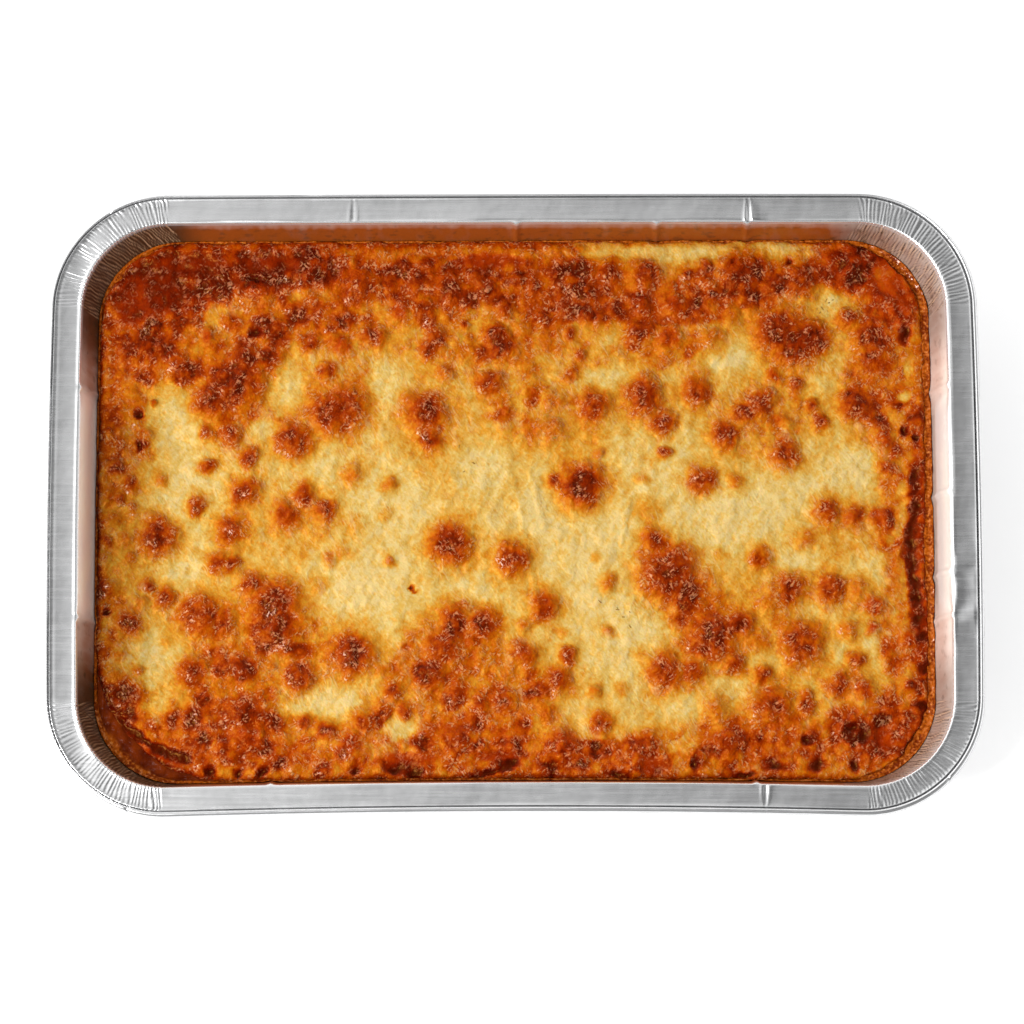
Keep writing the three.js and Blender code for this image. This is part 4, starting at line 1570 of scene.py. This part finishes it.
@dataclass
class CheeseTopping:
    """The melted, browned cheese over the filling."""

    form: TrayForm
    browning: Browning
    cells: tuple[int, int] = (372, 244)
    level: float = 31.0
    floor: float = 28.9
    edge_level: float = 30.1
    edge_round: float = 2.6
    edge_overlap: float = 0.2
    base_inset: float = 0.3
    skirt: float = 0.25
    insets: tuple[float, float, float, float] = (2.3, 0.4, 0.4, 0.6)
    radii: tuple[float, float, float, float] = (31, 30, 46, 31)
    recess: tuple[float, float, float] = (-15, 24, 0.8)

    # Relief in millimetres: how high each kind stands and about how wide it is. Streaks run one
    # way and are drawn out along it.
    swell_rise: float = 0.6
    swell_size: float = 27
    lump_rise: float = 0.55
    lump_size: float = 8.5
    pebble_rise: float = 0.5
    pebble_size: float = 4.4
    crumb_rise: float = 0.25
    crumb_size: float = 2.6
    streak_rise: float = 0.28
    streak_size: float = 2.6
    streak_way: tuple[float, float] = (0.57, 0.82)
    streak_draw: float = 3.2
    edge_waver: float = 0.35
    # Toast of wet pits and creases: dark sauce with painted shade of the hollows.
    scorched: float = 1.32
    strands: tuple[tuple[tuple[float, float], tuple[float, float]], ...] = (
        ((-0.5, 11), (7, -29)),
        ((39, 3), (36, -13)),
        ((5, 14), (10, -6)),
    )
    strand_rise: float = 0.45
    finish: CheeseFinish = CheeseFinish()

    def outline(self, z: float, extra: float = 0.0) -> Outline:
        """Finds the cheese's outline.

        Args:
            z: The height.
            extra: How far it is grown.

        Returns:
            The outline.
        """
        wall = self.form.cavity(z)
        right, far, left, near = self.insets
        return Outline(
            wall.right - right + extra,
            wall.far - far + extra,
            wall.left + left - extra,
            wall.near + near - extra,
            tuple(radius + extra for radius in self.radii),
        )

    def recessed(self, x: Array, y: Array) -> Array:
        """Pulls the right-hand margin back from the wall.

        Args:
            x: Places along X.
            y: Places along Y.

        Returns:
            The new places along X.
        """
        middle, half, depth = self.recess
        along = np.clip((y - middle) / half, -1, 1)
        return x - depth * eased(x, 90, 140) * np.cos(along * np.pi / 2) ** 2

    def pebbled(self, x: Array, y: Array) -> Array:
        """Works out the small soft lumps.

        Args:
            x: Places along X.
            y: Places along Y.

        Returns:
            1 on top of them and 0 between them.
        """
        bend = Grain(Seed.CRUMBS)
        bent_x, bent_y = x + 1.2 * bend.at(x, y, 5), y + 1.2 * bend.at(x + 9, y, 5)
        away, _ = Cells(Seed.PEBBLES).at(bent_x, bent_y, self.pebble_size)
        return eased(away, 0.7, 0.1)

    def heights(self, x: Array, y: Array, browned: Browned) -> Array:
        """Works out the height of the cheese's top away from its margin.

        Args:
            x: Places along X.
            y: Places along Y.
            browned: How the cheese has browned there.

        Returns:
            The heights.
        """
        toast, dry, crumbs = browned.toast, 1 - browned.wet, Grain(Seed.CRUMBS)
        way_x, way_y = self.streak_way
        along, across = x * way_x + y * way_y, x * way_y - y * way_x
        streaks = Grain(Seed.PULLED_STREAKS).at(along / self.streak_draw, across, self.streak_size)
        pebbles = self.pebble_rise * self.pebbled(x, y) * (0.5 + 0.8 * eased(toast, 0.3, 0.6))
        relief = (
            self.swell_rise * Grain(Seed.SWELLS).at(x, y, self.swell_size)
            + self.lump_rise * Grain(Seed.LUMPS).layered(x, y, self.lump_size, 3)
            + self.streak_rise * (streaks * eased(toast, 0.5, 0.2))
            + pebbles * dry
            + self.crumb_rise * crumbs.layered(x, y, self.crumb_size, 2) * eased(toast, 0.5, 0.8) * dry
        )
        for start, end in self.strands:
            away = from_line(x, y, start, end, 0.6 * crumbs.at(x, y, 6))
            relief = relief + self.strand_rise * eased(away, 1.3, 0.2)
        return self.level + relief + browned.dome

    def sheet(self) -> bmesh.types.BMesh:
        """Draws a square grid with a skirt of two rows and a base.

        Returns:
            The mesh, from -1 to 1 both ways, with the skirt's rows 1 and 2 below it.
        """
        columns, rows = self.cells
        bm = bmesh.new()
        bmesh.ops.create_grid(bm, x_segments=columns, y_segments=rows, size=1.0)
        edges = [edge for edge in bm.edges if edge.is_boundary]
        for step in (1, 2):
            fresh, edges = grown_row(bm, edges)
            for vert in fresh:
                vert.co.z = -step
        bmesh.ops.contextual_create(bm, geom=edges)
        return bm

    def laid(self, p: Array, q: Array, in_base: Array) -> tuple[Array, Array, Array]:
        """Lays the sheet's points into the tray, with a ragged margin.

        Args:
            p: Places across the sheet.
            q: Places up it.
            in_base: Whether a point belongs to the base.

        Returns:
            X, Y and the distance from the margin.
        """
        top = self.outline(self.edge_level, self.edge_overlap)
        half_x, half_y = (top.right - top.left) / 2, (top.far - top.near) / 2
        x, y = top.inside(p, q)
        low_x, low_y = self.outline(self.floor, -self.base_inset).inside(p, q)
        x, y = np.where(in_base, low_x, x), np.where(in_base, low_y, y)
        margin = np.minimum((1 - np.abs(p)) * half_x, (1 - np.abs(q)) * half_y)
        shrink = np.maximum(0, 0.3 + 0.7 * Grain(Seed.MARGIN).layered(x, y, 7, 3))
        shrink = shrink * eased(margin, 9, 0)
        x, y = x - np.sign(x) * shrink * (np.abs(p) > 0.9), y - np.sign(y) * shrink * (np.abs(q) > 0.86)
        x, y = self.form.bowed(x, y, np.full(x.shape, self.edge_level))
        return self.recessed(x, y), y, margin

    def build(self) -> bpy.types.Object:
        """Makes the cheese: a fine sheet laid into the tray's outline, with a skirt and a base.

        Returns:
            The cheese.
        """
        bm = self.sheet()
        p, q, step = points_of(bm).T
        in_skirt, in_base = step < -0.5, step < -1.5
        x, y, margin = self.laid(p, q, in_base)
        browned = self.browning.at(x, y)
        inward = np.clip(margin / self.edge_round, 0, 1)
        rise = np.sqrt(1 - (1 - inward) ** 2)
        edge = self.edge_level + self.edge_waver * Grain(Seed.MARGIN).at(x + 50, y, 5)
        z = edge + (self.heights(x, y, browned) - edge) * rise
        z = np.where(in_skirt, np.where(in_base, self.floor, edge - self.skirt), z)
        for vert, place in zip(bm.verts, np.stack([x, y, z], axis=-1) * MM):
            vert.co = place
        bmesh.ops.recalc_face_normals(bm, faces=bm.faces)
        paint = {
            "toast": self.spread_evenly(browned, margin, x, y),
            "wet": browned.wet,
            "red": browned.red,
            # Painted shadow of the left wall, deepest at the margin.
            "painted_wall_shadow": eased(-x, 108, 144) * eased(y, 46, 24) * eased(y, -72, -60),
        }
        piece = new_piece("browned_cheese", bm, self.finish.material(), paint)
        stand_for(piece, "cheese_topping")
        return piece

    def spread_evenly(self, browned: Browned, margin: Array, x: Array, y: Array) -> Array:
        """Evens out how common each degree of toast is, and darkens the scorched margin.

        Args:
            browned: The browning of each place.
            margin: Millimetres to the cheese's edge.
            x: Places along X.
            y: Places along Y.

        Returns:
            The toast to paint.
        """
        toast = browned.toast
        order = np.argsort(np.argsort(toast)) / len(toast)
        even = 0.8 * order + 0.2 * np.clip(toast, 0, 1.05)
        wander = Grain(Seed.SCORCH).layered(x, y, 9, 3)
        left = eased(-x, 124, 132) * eased(np.abs(y), 74, 58)
        corner = eased(-x, 96, 112) * eased(-y, 48, 64)
        golden = eased(np.abs(x - 60), 46, 34) * eased(y, 70, 80)
        near = eased(-y, 72, 84)

        warm = eased(margin + 2.5 * wander + 4.0 * left - 3.0 * corner, 7.5, 1.0)
        warmth = 0.62 + 0.14 * eased(x, 40, 0) * eased(y, 60, 75) - 0.45 * golden - 0.1 * near
        even = even + (np.maximum(even, warmth) - even) * warm

        # Toast rises in the hollows between the pebbles, so they come out darker than the tops.
        valley = (0.45 - self.pebbled(x, y)) * eased(even, 0.45, 0.65) * (1 - browned.wet)
        even = even + valley * (0.1 + 0.14 * np.maximum(near, eased(x, 110, 128)))

        scorched = eased(margin + 1.2 * wander, 2.4 + 1.6 * corner, 0.2)
        deep = 0.8 + 0.2 * corner + 0.16 * left - 0.3 * golden - 0.2 * eased(x, 100, 120)
        even = even + (np.maximum(even, deep) - even) * scorched
        # Wet pits and creases go near black: dark sauce with painted shade.
        return even + (np.maximum(even, self.scorched) - even) * eased(browned.wet, 0.8, 1.0)


# ---------------------------------------------------------------- the meat sauce


@dataclass(frozen=True)
class SauceFinish(Finish):
    """Thick oily meat sauce, baked dark along the wall."""

    name: str = "meat_sauce"
    open_sauce: Colour = tone(66, 16, 1)
    oily: Colour = tone(98, 34, 2)
    baked: Colour = tone(96, 30, 2)
    rusty: Colour = tone(158, 76, 8)
    fried: Colour = tone(190, 116, 44)

    def inputs(self, graph: Graph) -> dict[str, Any]:
        """Dresses the sauce by how far its crust is baked.

        Args:
            graph: The material's graph.

        Returns:
            Values for the surface's sockets.
        """
        place = object_place(graph)
        crust = graph.attribute("crust")
        lumps, fine = graph.grain(place, 1.8, 3.0), graph.grain(place, 0.5)
        wet = graph.mixed(graph.eased(lumps, 0.3, 0.75), self.open_sauce, self.oily)
        dry = graph.mixed(graph.eased(fine * 0.6 + lumps * 0.4, 0.36, 0.6), self.baked, self.rusty)
        dry = graph.mixed(graph.eased(fine, 0.58, 0.7) * 0.6, dry, self.fried)
        return {
            "Base Color": graph.mixed(graph.eased(crust, 0.1, 0.7), wet, dry),
            "Roughness": fine * 0.25 + crust * 0.15 + 0.12,
            "Specular IOR Level": 0.03,
            "Coat Weight": graph.eased(fine, 0.5, 0.64) * (crust * 0.5 + 0.1),
            "Coat Roughness": 0.2,
            "Normal": graph.relief(lumps * 0.8 + fine * (crust * 0.5 + 0.05)),
        }


@dataclass
class SauceFilling:
    """The filling up to the level seen beside the cheese, with its crust on the wall.

    Each of `wall_rings` is a height, the gap to the foil, an extra lift and a roughness. Each of
    `plateau_rings` is a share of the way from the lip to the cheese, a height and a roughness.
    Each of `sunk_rings`, under the cheese, is how far inward it is as a share, and a height.
    """

    form: TrayForm
    cheese: CheeseTopping
    tray: FoilTray
    steps: tuple[int, int] = (80, 110)
    foil: float = 0.5
    gap: float = 0.3
    heel_ring: tuple[float, float] = (1.2, 1.8)
    lip: float = 30.4
    lip_inset: float = 1.2
    dart_reach: float = 2.0
    wall_rings: tuple[tuple[float, float, float, float], ...] = (
        (28.2, 0.3, 0.0, 0.0),
        (29.6, 0.2, 0.0, 0.1),
        (30.4, 0.2, 0.15, 0.55),
        (30.4, 0.6, 0.1, 0.6),
    )
    plateau_rings: tuple[tuple[float, float, float], ...] = (
        (0.06, 30.1, 0.5),
        (0.25, 29.95, 0.4),
        (0.5, 29.9, 0.3),
        (0.75, 30.1, 0.3),
        (0.95, 30.1, 0.25),
    )
    sunk_rings: tuple[tuple[float, float], ...] = (
        (0.01, 29.7),
        (0.012, 28.8),
        (0.03, 28.65),
        (0.06, 28.6),
    )
    finish: SauceFinish = SauceFinish()

    def ring(
        self,
        outline: Outline,
        z: float,
        rough: float = 0.0,
        seed: Seed = Seed.FILLING,
        give: float = 0.0,
    ) -> Array:
        """Draws one ring of the filling.

        Args:
            outline: Where it runs.
            z: Its height.
            rough: How far its height wanders.
            seed: Which noise it wanders by.
            give: How far it gives way to the tray's darts.

        Returns:
            Rows of X, Y and Z.
        """
        corner, side = self.steps
        u = np.concatenate([s + np.arange(n) / n for s in range(8) for n in ((side, corner)[s % 2],)])
        points, normals = outline.at(u)
        press = give * self.tray.dart_depth * self.tray.dart_press(points, normals, self.dart_reach)
        x, y = (points - normals * press[:, None]).T
        x, y = self.form.bowed(x, y, np.full(len(u), z))
        noise = Grain(seed)
        lift = rough * (noise.layered(x, y, 11, 2) + 0.6 * noise.layered(x, y, 2.5, 2))
        return np.stack([x, y, z + lift], axis=-1)

    def wall_side(self) -> list[Array]:
        """Draws the rings from the floor, round the heel and up the wall to the lip.

        Returns:
            The rings, from the floor up.
        """
        form, base = self.form, self.foil + self.gap
        rise, inset = self.heel_ring
        rings = [
            self.ring(form.cavity(base, form.heel + self.foil + self.gap), base),
            self.ring(form.cavity(base + rise, inset), base + rise),
            self.ring(form.cavity(base + form.heel, self.gap), base + form.heel, give=1.0),
        ]
        for z, gap, lift, rough in self.wall_rings:
            rings.append(self.ring(form.cavity(z, gap), z + lift, rough, give=1.0))
        return rings

    def top_side(self, lip: Array) -> list[Array]:
        """Draws the rings from the lip in to the cheese and down below it.

        Args:
            lip: The ring at the lip.

        Returns:
            The rings, from the lip inward.
        """
        under = self.cheese.floor - self.gap
        outline = self.cheese.outline(under, self.gap)
        shore = self.ring(outline, under)
        shore[:, 0] = self.cheese.recessed(shore[:, 0], shore[:, 1])
        rings = []
        for share, z, rough in self.plateau_rings:
            flat = (lip + (shore - lip) * share) * [1, 1, 0]
            rings.append(flat + self.ring(outline, z, rough, Seed.FILLING_TOP) * [0, 0, 1])
        for inward, z in self.sunk_rings:
            rings.append(shore * [1 - inward, 1 - inward, 0] + [0, 0, z])
        return rings

    def build(self) -> bpy.types.Object:
        """Makes the filling.

        Returns:
            The filling, with its crust painted by the distance from the lip.
        """
        lip = self.ring(self.form.cavity(self.lip, self.lip_inset), self.lip, give=1.0)
        rings = self.wall_side() + self.top_side(lip)
        reach = np.array([np.hypot(*(ring - lip).T[:2]) for ring in rings])
        bm = facing_out(loft(rings, True, True))
        away = reach[taken(bm, "hoop"), taken(bm, "station")]
        x, y, _ = points_of(bm).T / MM
        corner = eased(-x, 96, 112) * eased(-y, 44, 60)
        crust = eased(away + 0.8 * Grain(Seed.CRUST).layered(x, y, 6, 2) + 1.8 * corner, 5.0, 2.2)
        piece = new_piece("meat_sauce", bm, self.finish.material(), {"crust": crust})
        stand_for(piece, "sauce_filling")
        return piece


# ---------------------------------------------------------------- herb flecks


@dataclass(frozen=True)
class HerbFinish(Finish):
    """Dried green herb, browned a little in the oven."""

    name: str = "herb"
    leaf: Colour = tone(150, 122, 56)
    stalk: Colour = tone(128, 88, 40)

    def inputs(self, graph: Graph) -> dict[str, Any]:
        """Dresses the herb in a fine mix of leaf and stalk.

        Args:
            graph: The material's graph.

        Returns:
            Values for the surface's sockets.
        """
        grain = graph.grain(object_place(graph), 0.5, 3.0)
        return {
            "Base Color": graph.mixed(graph.eased(grain, 0.3, 0.7), self.leaf, self.stalk),
            "Roughness": grain * 0.2 + 0.4,
            "Specular IOR Level": 0.05,
            "Normal": graph.relief(grain * 0.05),
        }


@dataclass
class HerbFlecks:
    """Tiny bits of herb half sunk in the pale cheese.

    Each of `groups` is a place on the layout sheet, how far it spreads both ways and how many
    flecks lie there.
    """

    cheese: CheeseTopping
    groups: tuple[tuple[float, float, float, float, int], ...] = (
        (824, 303, 20, 9, 9),
        (618, 612, 26, 14, 6),
        (480, 440, 90, 40, 4),
        (180, 560, 40, 60, 3),
    )
    spread: float = 0.6
    lengths: tuple[float, float] = (0.6, 1.5)
    widths: tuple[float, float] = (0.25, 0.5)
    thickness: float = 0.22
    rounding: float = 0.07
    lift: float = 0.03
    finish: HerbFinish = HerbFinish()

    def add_sliver(self, bm: bmesh.types.BMesh, draw: np.random.Generator, middle: Vector) -> None:
        """Adds one rounded sliver of a random size and turn.

        Args:
            bm: The mesh it goes into.
            draw: Where its random numbers come from.
            middle: Where its middle lies, in millimetres.
        """
        block = bmesh.ops.create_cube(bm, size=1.0)["verts"]
        size = Vector((draw.uniform(*self.lengths), draw.uniform(*self.widths), self.thickness))
        bmesh.ops.scale(bm, verts=block, vec=size * MM)
        sides = list({edge for vert in block for edge in vert.link_edges})
        rounded = bmesh.ops.bevel(
            bm,
            geom=sides,
            offset=self.rounding * MM,
            segments=1,
            affect="EDGES",
            profile=0.5,
            material=-1,
        )["verts"]
        turn = Matrix.Rotation(draw.uniform(0, math.pi), 3, "Z")
        bmesh.ops.rotate(bm, verts=rounded, matrix=turn)
        bmesh.ops.translate(bm, verts=rounded, vec=middle * MM)

    def build(self) -> bpy.types.Object:
        """Makes the flecks.

        Returns:
            One piece with a sliver for each of them.
        """
        draw, sheet = np.random.default_rng(Seed.HERBS), self.cheese.browning.sheet
        bm = bmesh.new()
        for px, py, *reach, count in self.groups:
            rx, ry = (far * self.spread for far in reach)
            spots = [sheet.place(px + rx * draw.normal(), py + ry * draw.normal()) for _ in range(count)]
            x, y = np.array(spots).T
            z = self.cheese.heights(x, y, self.cheese.browning.at(x, y)) + self.lift
            for middle in zip(x, y, z):
                self.add_sliver(bm, draw, Vector(middle))
        piece = new_piece("herb_flecks", facing_out(bm), self.finish.material())
        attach(piece, "root")
        LOG.info("%s: %d faces", piece.name, len(piece.data.polygons))
        return piece


# ---------------------------------------------------------------- the studio


@dataclass(frozen=True)
class FloorFinish(Finish):
    """A plain, nearly white studio floor."""

    name: str = "studio_floor"
    pale: Colour = (0.93, 0.93, 0.93)
    deepest: float = 0.985

    def inputs(self, graph: Graph) -> dict[str, Any]:
        """Dresses the floor nearly evenly, and lets it glow a little.

        Args:
            graph: The material's graph.

        Returns:
            Values for the surface's sockets.
        """
        grain = graph.grain(object_place(graph), 12.0)
        return {
            "Base Color": graph.mixed(grain, self.pale, deeper(self.pale, self.deepest)),
            "Roughness": 0.9,
            "Specular IOR Level": 0.1,
            "Emission Color": (1.0, 1.0, 1.0, 1.0),
            "Emission Strength": 0.5,
        }


@dataclass
class Studio:
    """Floor, sky, key light and camera, in metres."""

    camera_aim: tuple[float, float, float] = (-0.0008, -0.0037, 0.0442)
    camera_distance: float = 1.70
    camera_elevation: float = 79.0
    camera_roll: float = -0.0026
    lens: float = 177.9
    sensor: float = 36.0
    nearest: float = 0.05
    key_place: tuple[float, float, float] = (-0.85, -0.45, 1.45)
    key_size: float = 0.5
    key_power: float = 38.0
    floor_reach: float = 3.0
    floor_level: float = -0.0002

    def build(self) -> None:
        """Sets up the whole studio."""
        self.floor()
        self.sky()
        self.key()
        self.camera()

    def floor(self) -> None:
        """Lays the floor just under the tray."""
        bm = bmesh.new()
        bmesh.ops.create_grid(bm, x_segments=2, y_segments=2, size=self.floor_reach)
        bmesh.ops.translate(bm, verts=bm.verts, vec=(0, 0, self.floor_level))
        new_piece("floor", bm, FloorFinish().material())

    def sky(self) -> None:
        """A soft dome: greyer overhead, bright low down and on the left."""
        world = bpy.data.worlds.new("studio_sky")
        bpy.context.scene.world = world
        world.use_nodes = True
        graph = Graph(world.node_tree)
        way = graph.node("ShaderNodeTexCoord").outputs["Generated"]
        split = graph.node("ShaderNodeSeparateXYZ", {}, {0: way})
        x, y, z = (Value(graph, split.outputs[k]) for k in range(3))
        overhead = (graph.eased(x, 0.15, -0.1) * 0.72 + 0.11) * (graph.eased(y, 0.1, 0.24) * 0.5 + 0.5)
        overhead = overhead * (1 - graph.eased(x, -0.1, -0.2) * 0.25)
        side = graph.eased(x, 0.6, -0.6) * 0.7 + 0.6 + graph.eased(z, 0.35, 0.05) * 0.9
        side = side * (1 - graph.eased(y, -0.35, -0.85) * 0.55)
        low = graph.eased(z, 0.985, 0.7)
        strength = overhead * (1 - low) + side * low
        sky = graph.node("ShaderNodeBackground", {}, {"Color": (1, 1, 1, 1), "Strength": strength})
        graph.node("ShaderNodeOutputWorld", {}, {"Surface": sky.outputs[0]})

    def key(self) -> None:
        """Hangs the key light, a soft square that faces the tray."""
        lamp = bpy.data.lights.new("key", "AREA")
        lamp.size, lamp.energy = self.key_size, self.key_power
        body = bpy.data.objects.new("key", lamp)
        body.location = self.key_place
        body.rotation_euler = (-Vector(self.key_place)).to_track_quat("-Z", "Y").to_euler()
        bpy.context.scene.collection.objects.link(body)

    def camera(self) -> None:
        """Places the camera."""
        lens = bpy.data.cameras.new("camera")
        lens.lens, lens.sensor_width, lens.clip_start = self.lens, self.sensor, self.nearest
        body = bpy.data.objects.new("camera", lens)
        tilt = math.radians(self.camera_elevation)
        away = Vector((0, -math.cos(tilt), math.sin(tilt)))
        body.location = Vector(self.camera_aim) + away * self.camera_distance
        turned = (-away).to_track_quat("-Z", "Y").to_matrix().to_4x4()
        turned = turned @ Matrix.Rotation(self.camera_roll, 4, "Z")
        body.rotation_euler = turned.to_euler()
        bpy.context.scene.collection.objects.link(body)
        bpy.context.scene.camera = body


# ---------------------------------------------------------------- the whole


def main() -> None:
    """Builds the studio and the meal."""
    logging.basicConfig(level=logging.INFO, format="%(name)s: %(message)s")
    bpy.context.scene.view_settings.view_transform = "Standard"
    Studio().build()
    form = TrayForm()
    cheese = CheeseTopping(form, Browning())
    tray = FoilTray(form)
    tray.build()
    SauceFilling(form, cheese, tray).build()
    cheese.build()
    HerbFlecks(cheese).build()


if __name__ == "__main__":
    main()
